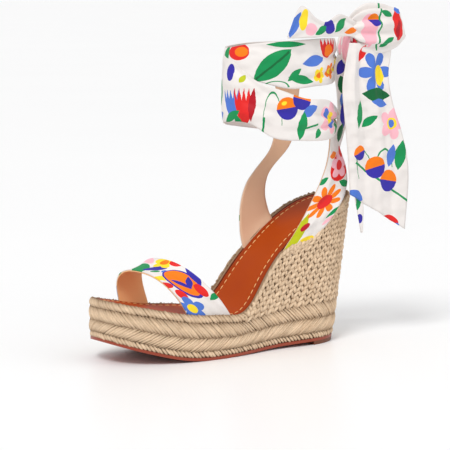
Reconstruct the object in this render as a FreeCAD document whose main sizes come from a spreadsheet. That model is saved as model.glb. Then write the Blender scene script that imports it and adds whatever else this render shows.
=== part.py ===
"""Left ankle-wrap wedge sandal: jute-covered wedge, leather insole, toe band and a knotted ankle scarf.

Frame: millimetres, +Z up, toe towards -X, outer (lateral) side of the foot towards -Y.
The origin is the centre of the heel top piece's ground face.
"""
import FreeCAD, Part
import math
import os

Vector = FreeCAD.Vector

# Driving dimensions: alias, value in millimetres (or degrees, or a plain ratio), meaning.
SIZES = [
    ("sole_length", 228.0, "toe tip to heel edge along the ground"),
    ("heel_edge", 20.0, "heel's ground edge behind the origin"),
    ("heel_height", 125.0, "ground to the sock at the back of the seat"),
    ("heel_lean", 19.0, "overhang of the seat behind the heel's ground edge"),
    ("toe_axis", 4.0, "toe tip's offset to the inner side"),
    ("toe_corner_outer", 20.0, "half width at the toe's corner"),
    ("toe_corner_inner", 29.0, "half width at the toe's corner"),
    ("toe_outer", 35.0, "half width across the toes"),
    ("toe_inner", 40.0, "half width across the toes"),
    ("ball_outer", 42.0, "half width at the ball"),
    ("ball_inner", 42.0, "half width at the ball"),
    ("waist_outer", 39.5, "half width at the foot of the ramp"),
    ("waist_inner", 33.5, "half width at the foot of the ramp"),
    ("arch_outer", 31.5, "half width halfway up the ramp"),
    ("arch_inner", 28.5, "half width halfway up the ramp"),
    ("seat_outer", 31.0, "half width at the heel seat"),
    ("seat_inner", 28.5, "half width at the heel seat"),
    ("back_outer", 19.0, "half width at the back corner"),
    ("back_inner", 21.5, "half width at the back corner"),
    ("toe_spring", 18.0, "underside's height at the toe tip"),
    ("tread_spring", 7.5, "underside's height behind the toes"),
    ("toe_top", 50.4, "sock's height at the toe tip"),
    ("tread_top", 43.3, "sock's height behind the toes"),
    ("ball_top", 36.3, "sock's height at the ball"),
    ("ramp_foot", 34.6, "sock's height at the foot of the ramp"),
    ("band_top_heel", 37.0, "top of the plaited bands at the heel"),
    ("outsole_thickness", 2.4, "leather outsole"),
    ("lift_thickness", 3.0, "heel top piece"),
    ("lift_length", 36.0, "heel top piece, front to back"),
    ("lift_inset", 1.2, "heel top piece and outsole, inside the jute"),
    ("nail_radius", 1.0, "heel nail"),
    ("nail_length", 22.0, "heel nail"),
    ("nail_recess", 0.6, "nail's end inside the ground face"),
    ("jute_depth", 5.0, "thickness of the plaits over the core"),
    ("row_height", 6.3, "rope row that edges the insole"),
    ("row_depth", 3.8, "thickness of that row"),
    ("row_inset", 0.6, "row's face inside the band's face"),
    ("row_rise", 0.6, "row's top above the sock"),
    ("foot_row", 5.2, "twisted row above the outsole"),
    ("lower_share", 0.47, "lower band's share of the two bands' height"),
    ("binding_thickness", 1.1, "leather edge binding"),
    ("binding_rise", 0.2, "binding's top above the sock"),
    ("sock_thickness", 1.4, "leather sock"),
    ("padding_thickness", 2.9, "foam under the sock"),
    ("fit_gap", 0.1, "clearance between pressed-in layers"),
    ("shank_width", 14.0, "steel shank"),
    ("shank_thickness", 1.6, "steel shank"),
    ("shank_front", 0.44, "shank's front end, share of the sole length"),
    ("shank_back", 0.86, "shank's back end, share of the sole length"),
    ("rivet_radius", 2.0, "shank rivet"),
    ("rivet_tail", 2.0, "rivet's end below the shank"),
    ("cloth", 0.9, "printed cloth of the straps"),
    ("lining", 1.1, "leather lining of the straps"),
    ("band_front_outer", -147.6, "toe band's front edge at the outer side"),
    ("band_front_crest", -171.0, "toe band's front edge over the toes"),
    ("band_front_inner", -167.4, "toe band's front edge at the inner side"),
    ("band_back_outer", -105.5, "toe band's back edge at the outer side"),
    ("band_back_crest", -148.0, "toe band's back edge over the toes"),
    ("band_back_inner", -138.9, "toe band's back edge at the inner side"),
    ("band_front_rise", 31.0, "front edge's height over the sock"),
    ("band_back_rise", 43.5, "back edge's height over the sock"),
    ("profile_step", 7.0, "spacing of the stations along a side-profile line"),
    ("slot_play", 1.6, "room behind a tucked-in strap end"),
    ("strap_gap", 0.8, "clearance between a tucked-in strap end and the rope row"),
    ("tie_tuck", 3.0, "how far an ankle tie is tucked in below the sock's top"),
    ("tie_outer_front", -46.5, "outer tie's front edge at the insole"),
    ("tie_outer_back", -8.0, "outer tie's back edge at the insole"),
    ("tie_inner_front", -51.0, "inner tie's front edge at the insole"),
    ("tie_inner_back", -22.0, "inner tie's back edge at the insole"),
    ("tack_radius", 0.6, "strap tack"),
    ("tack_length", 7.0, "strap tack"),
    ("tie_axis_x", -31.0, "lean axis of the ankle ties"),
    ("tie_axis_drop", 32.0, "lean axis below the heel seat"),
    ("tie_axis_radius", 41.0, "fixed part of each tie, round the lean axis"),
    ("tie_gap", 0.4, "clearance across the lean line"),
    ("ankle_x", -30.0, "centre of the ankle wrap"),
    ("ankle_long", 54.0, "half length of the wrap, outside"),
    ("ankle_wide", 38.0, "half width of the wrap, outside"),
    ("turn_thickness", 1.5, "doubled cloth of a turn"),
    ("turn_gap", 0.3, "clearance between the two turns"),
    ("wrap_base", 41.0, "lower edge of the wrap above the seat, at the back"),
    ("knot_x", 30.0, "knot's centre"),
    ("knot_y", -23.0, "knot's centre"),
    ("knot_rise", 123.0, "knot's centre above the seat"),
    ("knot_long", 9.0, "knot's half length"),
    ("knot_wide", 8.5, "knot's half width"),
    ("knot_high", 13.0, "knot's half height"),
    ("tail_face", -34.0, "inner face of the long tail's root"),
    ("tail_thickness", 1.6, "doubled cloth of the tail"),
    ("tail_length", 156.0, "knot's centre to the tail's point"),
    ("loop_reach", 44.0, "knot's centre to the flared loop's end"),
    ("loop_height", 32.0, "flared end of the loop"),
    ("loop_depth", 9.0, "puffed thickness of the loop"),
    ("slab_half", 80.0, "half depth of the cutting slabs"),
]

# Stations along the sole, as shares of its length from the toe.
CORNER, TOES, BALL, WAIST, ARCH, SEAT, BACK = 0.038, 0.146, 0.309, 0.5, 0.691, 0.854, 0.962
RAMP_START = 0.47
# The ramp: share of the sole length, share of the rise from ramp foot to heel seat.
RAMP = [(0.6, 0.252), (0.72, 0.62), (0.85, 0.87), (1.0, 1.0)]
OVERRUN = 0.06

doc = FreeCAD.newDocument("wedge_sandal")
sheet = doc.addObject("Spreadsheet::Sheet", "sizes")
NODES = []


def fill_sheet():
    """Writes the driving dimensions into the spreadsheet."""
    for row, (alias, value, meaning) in enumerate(SIZES, start=1):
        sheet.set("A%d" % row, meaning)
        sheet.set("B%d" % row, str(value))
        sheet.setAlias("B%d" % row, alias)
    doc.recompute()


def size(alias):
    """Reads one driving dimension."""
    return float(sheet.get(alias))


# ---------------------------------------------------------------- small helpers


def wire_feature(name, edges):
    """Keeps a wire as a document object, so that lofts and extrusions can use it."""
    feature = doc.addObject("Part::Feature", name)
    feature.Shape = Part.Wire(edges)
    return feature


def face_feature(name, edges):
    """Keeps a flat face as a document object."""
    feature = doc.addObject("Part::Feature", name)
    feature.Shape = Part.Face(Part.Wire(edges))
    return feature


def loft(name, sections, ruled=True):
    """Solid through section wires."""
    feature = doc.addObject("Part::Loft", name)
    feature.Sections = sections
    feature.Solid = True
    feature.Ruled = ruled
    return feature


def cut(name, base, tool):
    """Base minus tool."""
    feature = doc.addObject("Part::Cut", name)
    feature.Base = base
    feature.Tool = tool
    return feature


def common(name, base, tool):
    """What base and tool share."""
    feature = doc.addObject("Part::Common", name)
    feature.Base = base
    feature.Tool = tool
    return feature


def group(name, parts):
    """Several separate solids as one object."""
    feature = doc.addObject("Part::Compound", name)
    feature.Links = parts
    return feature


def node(feature, name):
    """Marks a feature as a piece of the sandal that is written to its own file."""
    feature.Label = name
    NODES.append(feature)
    return feature


def through(points, closed=False):
    """Smooth curve through points."""
    curve = Part.BSplineCurve()
    curve.interpolate(Points=points, PeriodicFlag=closed)
    return curve


def height_at(curve, x):
    """Height of a side-profile curve at x: the curve runs steadily from the toe to the heel."""
    low, high = curve.FirstParameter, curve.LastParameter
    for _ in range(40):
        middle = (low + high) / 2
        if curve.value(middle).x < x:
            low = middle
        else:
            high = middle
    return curve.value(low).z


# ---------------------------------------------------------------- outline and side profile


def ground_x(share):
    """Position along the sole at ground level, from a share of its length."""
    return size("heel_edge") - size("sole_length") * (1 - share)


def lean_at(share, height):
    """How far the heel end is pushed back at a height: the wedge leans over its ground edge."""
    return size("heel_lean") * max(0.0, (share - WAIST) / (1 - WAIST)) * height / size("heel_height")


def outline_points(height, inset):
    """Sixteen points of the sole's plan outline at a height, moved inwards by inset."""
    stations = [(CORNER, "toe_corner"), (TOES, "toe"), (BALL, "ball"), (WAIST, "waist"),
                (ARCH, "arch"), (SEAT, "seat"), (BACK, "back")]
    outer = [(s, -size(word + "_outer")) for s, word in stations]
    inner = [(s, size(word + "_inner")) for s, word in reversed(stations)]
    ring = [(0.0, size("toe_axis"))] + outer + [(1.0, 0.0)] + inner
    points = [Vector(ground_x(s) + lean_at(s, height), y, height) for s, y in ring]
    curve = through(points, closed=True)
    moved = []
    for point in points:
        tangent = curve.tangent(curve.parameter(point))[0]
        inward = Vector(-tangent.y, tangent.x, 0)
        moved.append(point + inward * inset)
    return moved


def edge_y(x, height, side, inset):
    """Y of the outline at x and a height, on the outer (-1) or inner (+1) side."""
    curve = through(outline_points(height, inset), closed=True)
    line = Part.LineSegment(Vector(x, 0, height), Vector(x, side * 2 * size("ball_outer"), height))
    hits = curve.intersectCC(line)
    return hits[0].Y


def envelope(inset):
    """Solid inside the sole's leaning walls, moved inwards by inset, from below the ground to above the seat."""
    name = "envelope_%d" % round(inset * 100)
    known = doc.getObject(name)
    if known:
        return known
    low = -10.0
    high = size("heel_height") + 20.0
    sections = []
    for tag, height in (("low", low), ("high", high)):
        curve = through(outline_points(height, inset), closed=True)
        sections.append(wire_feature("%s_%s" % (name, tag), [curve.toShape()]))
    return loft(name, sections)


def top_points(drop):
    """Side profile of the sock's top, lowered by drop, from before the toe to behind the heel."""
    foot = size("ramp_foot")
    rise = size("heel_height") - foot
    flat = [(0.0, size("toe_top")), (0.15, size("tread_top")), (0.33, size("ball_top")),
            (0.42, foot + 0.3), (0.5, foot - 0.4)]
    ramp = [(share, foot + rise * part) for share, part in RAMP]
    points = [Vector(ground_x(s) + lean_at(s, z), 0, z - drop) for s, z in flat + ramp]
    before = points[0] + (points[0] - points[1]) * 0.5
    after = points[-1] + (points[-1] - points[-2]) * 0.8
    return [before] + points + [after]


def top_curve(drop=0.0):
    """The sock's top in side view, lowered by drop."""
    return through(top_points(drop))


def bottom_height(share):
    """Height of the outsole's underside: toe spring, flat tread, low arch, then the heel top piece."""
    lift = size("lift_thickness")
    points = [(-OVERRUN, 1.35 * size("toe_spring")), (0.0, size("toe_spring")), (TOES, size("tread_spring")),
              (0.25, 0.26 * size("tread_spring")), (0.34, 0.0), (0.40, 0.0), (0.6, 0.4 * lift), (0.84, lift),
              (1.0, lift), (1.0 + 4 * OVERRUN, lift)]
    curve = through([Vector(s * 100, 0, z) for s, z in points])
    return max(0.0, height_at(curve, share * 100))


def band_line_height(share):
    """Top of the plaited bands: the foot of the edging row in front, nearly level round the heel."""
    start = size("ramp_foot") - size("row_height")
    rise = size("band_top_heel") - start
    points = [(RAMP_START, 0.0), (0.56, 0.2), (0.7, 0.62), (0.85, 0.9), (1.0, 1.0), (1.3, 1.04)]
    curve = through([Vector(s * 100, 0, start + rise * part) for s, part in points])
    return height_at(curve, share * 100)


def row_foot(x):
    """Foot of the edging row at x."""
    return height_at(top_curve(size("row_height")), x)


def share_at(x):
    """Share of the sole's length at x, from the toe."""
    return 1 + (x - size("heel_edge")) / size("sole_length")


def ramp_tip():
    """Where the edging row leaves the level bands to climb the ramp."""
    low, high = ground_x(WAIST), ground_x(ARCH)
    for _ in range(30):
        middle = (low + high) / 2
        if row_foot(middle) < band_line_height(share_at(middle)):
            low = middle
        else:
            high = middle
    return high


def band_top(x):
    """Top of the upper plaited band at x."""
    return row_foot(x) if x <= ramp_tip() else band_line_height(share_at(x))


def outsole_top(x):
    """Top of the outsole at x."""
    return bottom_height(share_at(x)) + size("outsole_thickness")


def stack_line(part):
    """Line between the outsole's top (0) and the top of the bands (1): the foot row takes its own height first."""
    def height(x):
        low = outsole_top(x) + size("foot_row")
        if part == "foot":
            return low
        return low + (band_top(x) - low) * size("lower_share")
    return height


def profile_edge(height, x_from, x_to):
    """Side-profile line of a height function between two places."""
    steps = max(6, round((x_to - x_from) / size("profile_step")))
    points = []
    for i in range(steps + 1):
        x = x_from + (x_to - x_from) * i / steps
        points.append(Vector(x, 0, height(x)))
    return through(points)


def slab(name, lower, upper, x_from, x_to):
    """Solid between two side-profile lines, right across the sole."""
    low = profile_edge(lower, x_from, x_to)
    high = profile_edge(upper, x_from, x_to)
    edges = [low.toShape(), Part.LineSegment(low.EndPoint, high.EndPoint).toShape(), high.toShape(),
             Part.LineSegment(high.StartPoint, low.StartPoint).toShape()]
    feature = doc.addObject("Part::Extrusion", name)
    feature.Base = face_feature(name + "_face", Part.sortEdges(edges)[0])
    feature.DirMode = "Custom"
    feature.Dir = Vector(0, 1, 0)
    feature.Solid = True
    feature.setExpression("LengthFwd", "sizes.slab_half")
    feature.setExpression("LengthRev", "sizes.slab_half")
    return feature


def ring(name, outer_inset, inner_inset):
    """Wall between two envelopes."""
    return cut(name, envelope(outer_inset), envelope(inner_inset))


# ---------------------------------------------------------------- sole unit


def front_x():
    """Just before the toe."""
    return ground_x(-OVERRUN)


def back_x():
    """Just behind the heel seat."""
    return size("heel_edge") + size("heel_lean") + 6.0


def depth(alias_total):
    """Drop from the sock's top to a layer's face."""
    drops = {
        "sock": size("sock_thickness"),
        "padding": size("sock_thickness") + size("padding_thickness"),
        "board": size("row_height"),
    }
    return drops[alias_total]


def top_height(drop):
    """Height function of the sock's top lowered by drop."""
    curve = top_curve(drop)
    return lambda x: height_at(curve, x)


def layer(name, upper_drop, lower_drop, inset, slots):
    """One layer of the insole: it follows the top profile, and the strap slots are cut out of it."""
    body = slab(name + "_slab", top_height(lower_drop), top_height(upper_drop), front_x(), back_x())
    flat = common(name + "_sheet", envelope(inset), body)
    return cut(name + "_slotted", flat, slots)


def strap_slots():
    """Four slots between the rope row and the insole, where the strap ends are tucked in."""
    room = row_inside() + size("cloth") + size("lining") + size("slot_play")
    margin = ring("slot_wall", 0.0, room)
    slots = []
    for name, side, (front, back) in strap_ends():
        box = doc.addObject("Part::Box", "slot_box_" + name)
        box.Length = back - front + 2 * size("fit_gap")
        box.setExpression("Width", "sizes.slab_half")
        box.setExpression("Height", "2 * sizes.heel_height")
        box.Placement.Base = Vector(front - size("fit_gap"), min(side, 0) * size("slab_half"), 0)
        slots.append(common("slot_" + name, margin, box))
    return group("strap_slots", slots)


def row_inside():
    """Inset of the rope row's inner face, with its clearance."""
    return size("row_inset") + size("row_depth") + size("fit_gap")


def strap_ends():
    """Name, side and the two places along the edge of every strap end."""
    return [
        ("band_outer", -1, (size("band_front_outer"), size("band_back_outer"))),
        ("band_inner", 1, (size("band_front_inner"), size("band_back_inner"))),
        ("tie_outer", -1, (size("tie_outer_front"), size("tie_outer_back"))),
        ("tie_inner", 1, (size("tie_inner_front"), size("tie_inner_back"))),
    ]


def jute_bands():
    """The rows of jute round the platform and the covers over the wedge's sides."""
    x0, x1 = front_x(), back_x()
    deep = size("jute_depth")
    wall = ring("band_wall", 0.0, deep)
    foot_wall = ring("foot_row_wall", size("lift_inset"), deep)
    row_wall = ring("edging_wall", size("row_inset"), size("row_inset") + size("row_depth"))
    foot = slab("foot_row_slab", outsole_top, stack_line("foot"), x0, x1)
    lower = slab("lower_band_slab", stack_line("foot"), stack_line("middle"), x0, x1)
    upper = slab("upper_band_slab", stack_line("middle"), band_top, x0, x1)
    foot_drop = size("row_height") - 2 * size("fit_gap")
    edging = slab("edging_slab", top_height(foot_drop), top_height(-size("row_rise")), x0, x1)
    node(common("foot_rope_row", foot_wall, foot), "foot_rope_row")
    node(common("lower_braid_band", wall, lower), "lower_braid_band")
    node(common("upper_braid_band", wall, upper), "upper_braid_band")
    node(common("insole_rope_row", row_wall, edging), "insole_rope_row")
    wedge_cover(wall)


def wedge_cover(wall):
    """Plaits over the wedge, above the level bands: an outer and an inner panel that meet at the back."""
    fill = slab("wedge_cover_slab", band_top, top_height(size("row_height")), ramp_tip() + 0.5, back_x())
    whole = common("wedge_cover", wall, fill)
    for name, side in (("wedge_braid_outer", -1), ("wedge_braid_inner", 1)):
        half = doc.addObject("Part::Box", name + "_half")
        half.setExpression("Length", "2 * sizes.sole_length")
        half.setExpression("Width", "sizes.slab_half")
        half.setExpression("Height", "2 * sizes.heel_height")
        half.Placement.Base = Vector(-size("sole_length"), min(side, 0) * size("slab_half"), -10)
        node(common(name, whole, half), name)


def outsole_and_heel():
    """Leather outsole, heel top piece and its nails. Returns the nails for the core's holes."""
    nails = heel_nails()
    inset = size("lift_inset")
    under = slab("outsole_slab", lambda x: outsole_top(x) - size("outsole_thickness"), outsole_top,
                 front_x(), back_x())
    blank = common("outsole_blank", envelope(inset), under)
    node(cut("outsole", blank, nails), "outsole")
    box = doc.addObject("Part::Box", "lift_box")
    box.setExpression("Length", "sizes.lift_length + 20")
    box.setExpression("Width", "2 * sizes.slab_half")
    box.setExpression("Height", "sizes.lift_thickness")
    box.Placement.Base = Vector(size("heel_edge") - size("lift_length"), -size("slab_half"), 0)
    lift = common("lift_blank", envelope(inset), box)
    node(cut("heel_top_piece", lift, nails), "heel_top_piece")
    return nails


def heel_nails():
    """Five nails up through the heel top piece, a horseshoe of four and one in the middle."""
    nails = []
    places = [(-10, -17), (-10, 17), (8, -12), (8, 12), (-2, 0)]
    for number, (x, y) in enumerate(places, start=1):
        pin = doc.addObject("Part::Cylinder", "heel_nail_%d" % number)
        pin.setExpression("Radius", "sizes.nail_radius")
        pin.setExpression("Height", "sizes.nail_length")
        pin.Placement.Base = Vector(x, y, size("nail_recess"))
        nails.append(pin)
    return node(group("heel_nails", nails), "heel_nails")


def shank_and_rivets():
    """Steel shank let into the core's top under the insole board, with two rivets through the board."""
    board = size("row_height") + 2 * size("fit_gap")
    thick = size("shank_thickness")
    half = size("shank_width") / 2
    x_from, x_to = ground_x(size("shank_front")), ground_x(size("shank_back"))
    bar = slab("shank_slab", top_height(board + thick), top_height(board), x_from, x_to)
    width = doc.addObject("Part::Box", "shank_width_box")
    width.setExpression("Length", "2 * sizes.sole_length")
    width.setExpression("Width", "sizes.shank_width")
    width.setExpression("Height", "2 * sizes.heel_height")
    width.Placement.Base = Vector(-size("sole_length"), -half, -10)
    blank = common("shank_blank", bar, width)
    bed = common("shank_bed_tool", slab("shank_bed_slab", top_height(board + thick), top_height(0.0), x_from, x_to), width)
    rivets = []
    for number, share in enumerate((0.14, 0.86), start=1):
        x = x_from + (x_to - x_from) * share
        low = height_at(top_curve(board + thick), x) - size("rivet_tail")
        high = height_at(top_curve(depth("padding")), x) - size("rivet_radius")
        rivet = doc.addObject("Part::Cylinder", "shank_rivet_%d" % number)
        rivet.setExpression("Radius", "sizes.rivet_radius")
        rivet.Height = high - low
        rivet.Placement.Base = Vector(x, 0, low)
        rivets.append(rivet)
    pins = node(group("shank_rivets", rivets), "shank_rivets")
    node(cut("steel_shank", blank, pins), "steel_shank")
    return bed, pins


def wedge_core(nails, shank, rivets):
    """One cork block from the toe to the heel, under the insole board and inside the jute."""
    fill = slab("core_slab", outsole_top, top_height(size("row_height")), front_x(), back_x())
    block = common("core_blank", envelope(size("jute_depth") + size("fit_gap")), fill)
    for name, tool in (("nail_holes", nails), ("shank_bed", shank), ("rivet_holes", rivets)):
        block = cut("core_" + name, block, tool)
    node(block, "wedge_core")


def insole(rivets):
    """Board, padding, leather sock and edge binding, slotted for the straps. The rivets go through the board."""
    inside = row_inside() + size("binding_thickness") + size("fit_gap")
    slots = strap_slots()
    board = layer("insole_board", depth("padding"), depth("board"), inside, slots)
    node(cut("insole_board", board, rivets), "insole_board")
    node(layer("insole_padding", depth("sock"), depth("padding"), inside, slots), "insole_padding")
    node(layer("leather_sock", 0.0, depth("sock"), inside, slots), "leather_sock")
    edge = ring("binding_wall", row_inside(), inside - size("fit_gap"))
    low = depth("board") - 3 * size("fit_gap")
    body = slab("binding_slab", top_height(low), top_height(-size("binding_rise")), front_x(), back_x())
    blank = common("binding_blank", edge, body)
    node(cut("insole_binding", blank, slots), "insole_binding")


# ---------------------------------------------------------------- straps


def strap(name, fronts, backs, outward, low, high):
    """Flat strap through pairs of edge points. Its thickness runs from low to high along the outward side."""
    sections = []
    count = len(fronts)
    for i in range(count):
        before, after = max(0, i - 1), min(count - 1, i + 1)
        along = (fronts[after] + backs[after]) - (fronts[before] + backs[before])
        across = backs[i] - fronts[i]
        normal = along.cross(across).normalize()
        if normal.dot(outward(i)) < 0:
            normal = normal * -1
        corners = [fronts[i] + normal * low, backs[i] + normal * low, backs[i] + normal * high,
                   fronts[i] + normal * high]
        ring_edges = [Part.LineSegment(corners[j], corners[(j + 1) % 4]).toShape() for j in range(4)]
        sections.append(wire_feature("%s_section_%d" % (name, i), ring_edges))
    return loft(name, sections)


def curve_value(start, crest, end, share):
    """Parabola that starts at one value, passes crest halfway and ends at another."""
    control = 2 * crest - (start + end) / 2
    return (1 - share) ** 2 * start + 2 * share * (1 - share) * control + share ** 2 * end


def band_edge(word, rise, steps):
    """One edge of the toe band: a rounded arch over the foot, from the outer to the inner side."""
    start = size("band_%s_outer" % word)
    crest = size("band_%s_crest" % word)
    end = size("band_%s_inner" % word)
    top = top_curve()
    inset = row_inside() + size("cloth")
    y_outer = edge_y(start, height_at(top, start), -1, inset)
    y_inner = edge_y(end, height_at(top, end), 1, inset)
    middle, half = (y_outer + y_inner) / 2, (y_inner - y_outer) / 2
    power = 0.8
    points = [Vector(start, y_outer, height_at(top, start) - size("row_height"))]
    for i in range(steps + 1):
        turn = math.pi * i / steps
        share = i / steps
        x = curve_value(start, crest, end, share)
        base = height_at(top, start) * (1 - share) + height_at(top, end) * share
        side = math.copysign(abs(math.cos(turn)) ** power, math.cos(turn))
        points.append(Vector(x, middle - half * side, base + rise * math.sin(turn) ** power if 0 < i < steps else base))
    points.append(Vector(end, y_inner, height_at(top, end) - size("row_height")))
    return points


def toe_band():
    """Printed toe band and its leather lining, both tucked between the rope row and the insole."""
    fronts = band_edge("front", size("band_front_rise"), 10)
    backs = band_edge("back", size("band_back_rise"), 10)
    middle = Vector(size("band_back_crest"), 0, size("ball_top"))

    def outward(i):
        centre = (fronts[i] + backs[i]) * 0.5
        return Vector(0, centre.y - middle.y, max(0.0, centre.z - middle.z - 5))

    cloth = strap("toe_band_cloth", fronts, backs, outward, 0.0, size("cloth"))
    lining = strap("toe_band_leather", fronts, backs, outward, -size("lining"), 0.0)
    return cloth, lining


def tie_base(x, side, drop):
    """Point on the insole's edge where a tie comes up."""
    height = height_at(top_curve(), x)
    inset = row_inside() + size("strap_gap") + size("cloth")
    return Vector(x, edge_y(x, height, side, inset), height - drop)


def tie_points(side):
    """Edge points of a tie, from its tucked-in end up to the wrap. Heights count from the heel seat."""
    seat = size("heel_height")
    if side < 0:
        bases = (size("tie_outer_front"), size("tie_outer_back"))
        rising = [((-37, -27.0, -30), (1, -25.5, -7)), ((-24, -28.0, -12), (13, -25.0, 1)),
                  ((-11, -27.0, 7), (20, -23.5, 9)), ((-2, -26.0, 23), (23, -18.0, 22)),
                  ((2, -26.0, 37), (20.5, -11.0, 37)), ((3, -26.2, 51), (19, -10.6, 51))]
    else:
        bases = (size("tie_inner_front"), size("tie_inner_back"))
        rising = [((-52.0, 27.5, -32), (-23.5, 26.5, -16)), ((-50.5, 29.0, -10), (-26, 28.0, -3)),
                  ((-44.5, 29.5, 7), (-24.5, 28.5, 9)), ((-35, 30.5, 18), (-19, 28.5, 19)),
                  ((-17, 32.5, 36), (-1, 28.0, 37)), ((-13, 33.2, 53), (3, 27.0, 53))]
    tuck = size("tie_tuck")
    fronts = [tie_base(bases[0], side, tuck), tie_base(bases[0], side, 0)]
    backs = [tie_base(bases[1], side, tuck), tie_base(bases[1], side, 0)]
    for front, back in rising:
        fronts.append(Vector(front[0], front[1], seat + front[2]))
        backs.append(Vector(back[0], back[1], seat + back[2]))
    return fronts, backs


def ankle_tie(word, side):
    """Printed cloth and lining of one ankle tie, each split at the lean line into a fixed and a moving part."""
    fronts, backs = tie_points(side)
    layers = {"": (0.0, size("cloth")), "_lining": (-size("lining"), 0.0)}
    whole = []
    for suffix, (low, high) in layers.items():
        piece = strap("%s_tie%s_strap" % (word, suffix), fronts, backs, lambda i: Vector(0, side, 0), low, high)
        whole.append(piece)
    return whole


def lean_cylinder(name, radius_change):
    """Cylinder round the lean axis: inside it the ties are fixed to the sole."""
    pin = doc.addObject("Part::Cylinder", name)
    pin.Radius = size("tie_axis_radius") + radius_change
    pin.setExpression("Height", "2 * sizes.slab_half")
    pin.Placement = FreeCAD.Placement(
        Vector(size("tie_axis_x"), size("slab_half"), size("heel_height") - size("tie_axis_drop")),
        FreeCAD.Rotation(Vector(1, 0, 0), 90))
    return pin


def split_ties(outer, inner):
    """Cuts every tie layer at the lean line."""
    half_gap = size("tie_gap") / 2
    inside = lean_cylinder("lean_inside", -half_gap)
    outside = lean_cylinder("lean_outside", half_gap)
    for word, layers in (("outer", outer), ("inner", inner)):
        for suffix, piece in zip(("", "_lining"), layers):
            anchor = "%s_tie_anchor%s" % (word, suffix)
            riser = "%s_tie_riser%s" % (word, suffix)
            node(common(anchor, piece, inside), anchor)
            node(cut(riser, piece, outside), riser)


def strap_tacks():
    """Tacks driven through the tucked-in strap ends into the insole board, three at each end."""
    places = []
    for _, side, (front, back) in strap_ends():
        for share in (0.2, 0.5, 0.8):
            places.append((front + (back - front) * share, side))
    tacks = []
    for number, (x, side) in enumerate(places, start=1):
        height = height_at(top_curve(size("row_height") - 1.0), x)
        start = edge_y(x, height, side, row_inside())
        tack = doc.addObject("Part::Cylinder", "strap_tack_%d" % number)
        tack.setExpression("Radius", "sizes.tack_radius")
        tack.setExpression("Height", "sizes.tack_length")
        tack.Placement = FreeCAD.Placement(Vector(x, start, height), FreeCAD.Rotation(Vector(1, 0, 0), 90 * side))
        tacks.append(tack)
    return node(group("strap_tacks", tacks), "strap_tacks")


# ---------------------------------------------------------------- ankle wrap


def ellipse_prism(name, grow):
    """Upright elliptic cylinder round the ankle, its half axes changed by grow."""
    middle = Vector(size("ankle_x"), 0, size("heel_height"))
    shape = Part.Ellipse(middle, size("ankle_long") + grow, size("ankle_wide") + grow)
    feature = doc.addObject("Part::Extrusion", name)
    feature.Base = face_feature(name + "_face", [shape.toShape()])
    feature.DirMode = "Custom"
    feature.Dir = Vector(0, 0, 1)
    feature.Solid = True
    feature.setExpression("LengthFwd", "sizes.knot_rise + 60")
    return feature


def turn(name, grow, front_heights, back_heights):
    """One turn of the wrap: a thin elliptic wall between two sloping planes. Heights count from the wrap's foot."""
    base = size("heel_height") + size("wrap_base")
    front, back = size("ankle_x") - size("ankle_long") - 5, size("ankle_x") + size("ankle_long") + 5
    wall = cut(name + "_wall", ellipse_prism(name + "_outside", grow),
               ellipse_prism(name + "_inside", grow - size("turn_thickness")))
    body = slab(name + "_slab",
                lambda x: base + front_heights[0] + (back_heights[0] - front_heights[0]) * (x - front) / (back - front),
                lambda x: base + front_heights[1] + (back_heights[1] - front_heights[1]) * (x - front) / (back - front),
                front, back)
    return node(common(name, wall, body), name)


def ankle_turns():
    """Lower turn outside, upper turn just inside it. They cross at the front and open a slit towards the back."""
    step = size("turn_thickness") + size("turn_gap")
    turn("wrap_lower_turn", 0.0, (22.0, 71.0), (0.0, 27.0))
    turn("wrap_upper_turn", -step, (66.0, 85.0), (46.0, 91.0))


def knot():
    """Knot at the back of the outer side. It sits on the upper turn."""
    ball = doc.addObject("Part::Ellipsoid", "knot_ball")
    ball.setExpression("Radius1", "sizes.knot_high")
    ball.setExpression("Radius2", "sizes.knot_long")
    ball.setExpression("Radius3", "sizes.knot_wide")
    ball.Placement.Base = Vector(size("knot_x"), size("knot_y"), size("heel_height") + size("knot_rise"))
    step = size("turn_thickness") + size("turn_gap")
    seat = ellipse_prism("knot_seat", -step)
    node(cut("bow_knot", ball, seat), "bow_knot")


def sheet_between(name, lefts, rights, low, high):
    """Free cloth end as a strap whose thickness runs along -Y."""
    return strap(name, lefts, rights, lambda i: Vector(0, -1, 0), low, high)


def long_tail():
    """Long hanging end with a slanted point. Its round root turns on the knot."""
    z = size("heel_height") + size("knot_rise")
    y = size("tail_face")
    length = size("tail_length")
    x = size("knot_x")
    lefts = [(-8, 0, 2), (-11, -1, 0.17), (-13, -1.5, 0.31), (-11, -1.5, 0.49), (-11, -1.5, 0.65), (-13, -1.5, 0.80)]
    rights = [(8, 0, 2), (20, -1, 0.17), (31, -1.5, 0.31), (42, -1.5, 0.49), (49, -1.5, 0.70), (45, -1.5, 1.0)]

    def place(row):
        side, out, part = row
        return Vector(x + side, y + out, z + 2 if part > 1 else z - length * part)

    return [place(row) for row in lefts], [place(row) for row in rights]


def free_ends():
    """The long tail, its folded edge, the flared loop and the short ends."""
    lefts, rights = long_tail()
    node(sheet_between("long_tail", lefts, rights, 0.0, size("tail_thickness")), "long_tail")
    z = size("heel_height") + size("knot_rise")
    x, y = size("knot_x"), size("tail_face")
    thick = size("tail_thickness")
    fold = y + 0.2
    fold_left = [Vector(x - 9, fold, z - 118), Vector(x - 4, fold, z - 140), Vector(x - 0.5, fold, z - 158)]
    fold_right = [Vector(x + 1, fold, z - 118), Vector(x + 2, fold, z - 140), Vector(x + 1.5, fold, z - 158)]
    node(sheet_between("tail_folded_edge", fold_left, fold_right, 0.0, thick), "tail_folded_edge")
    node(flared_loop(x, y, z), "bow_loop")
    node(short_ends(x, z), "short_ends")


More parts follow.
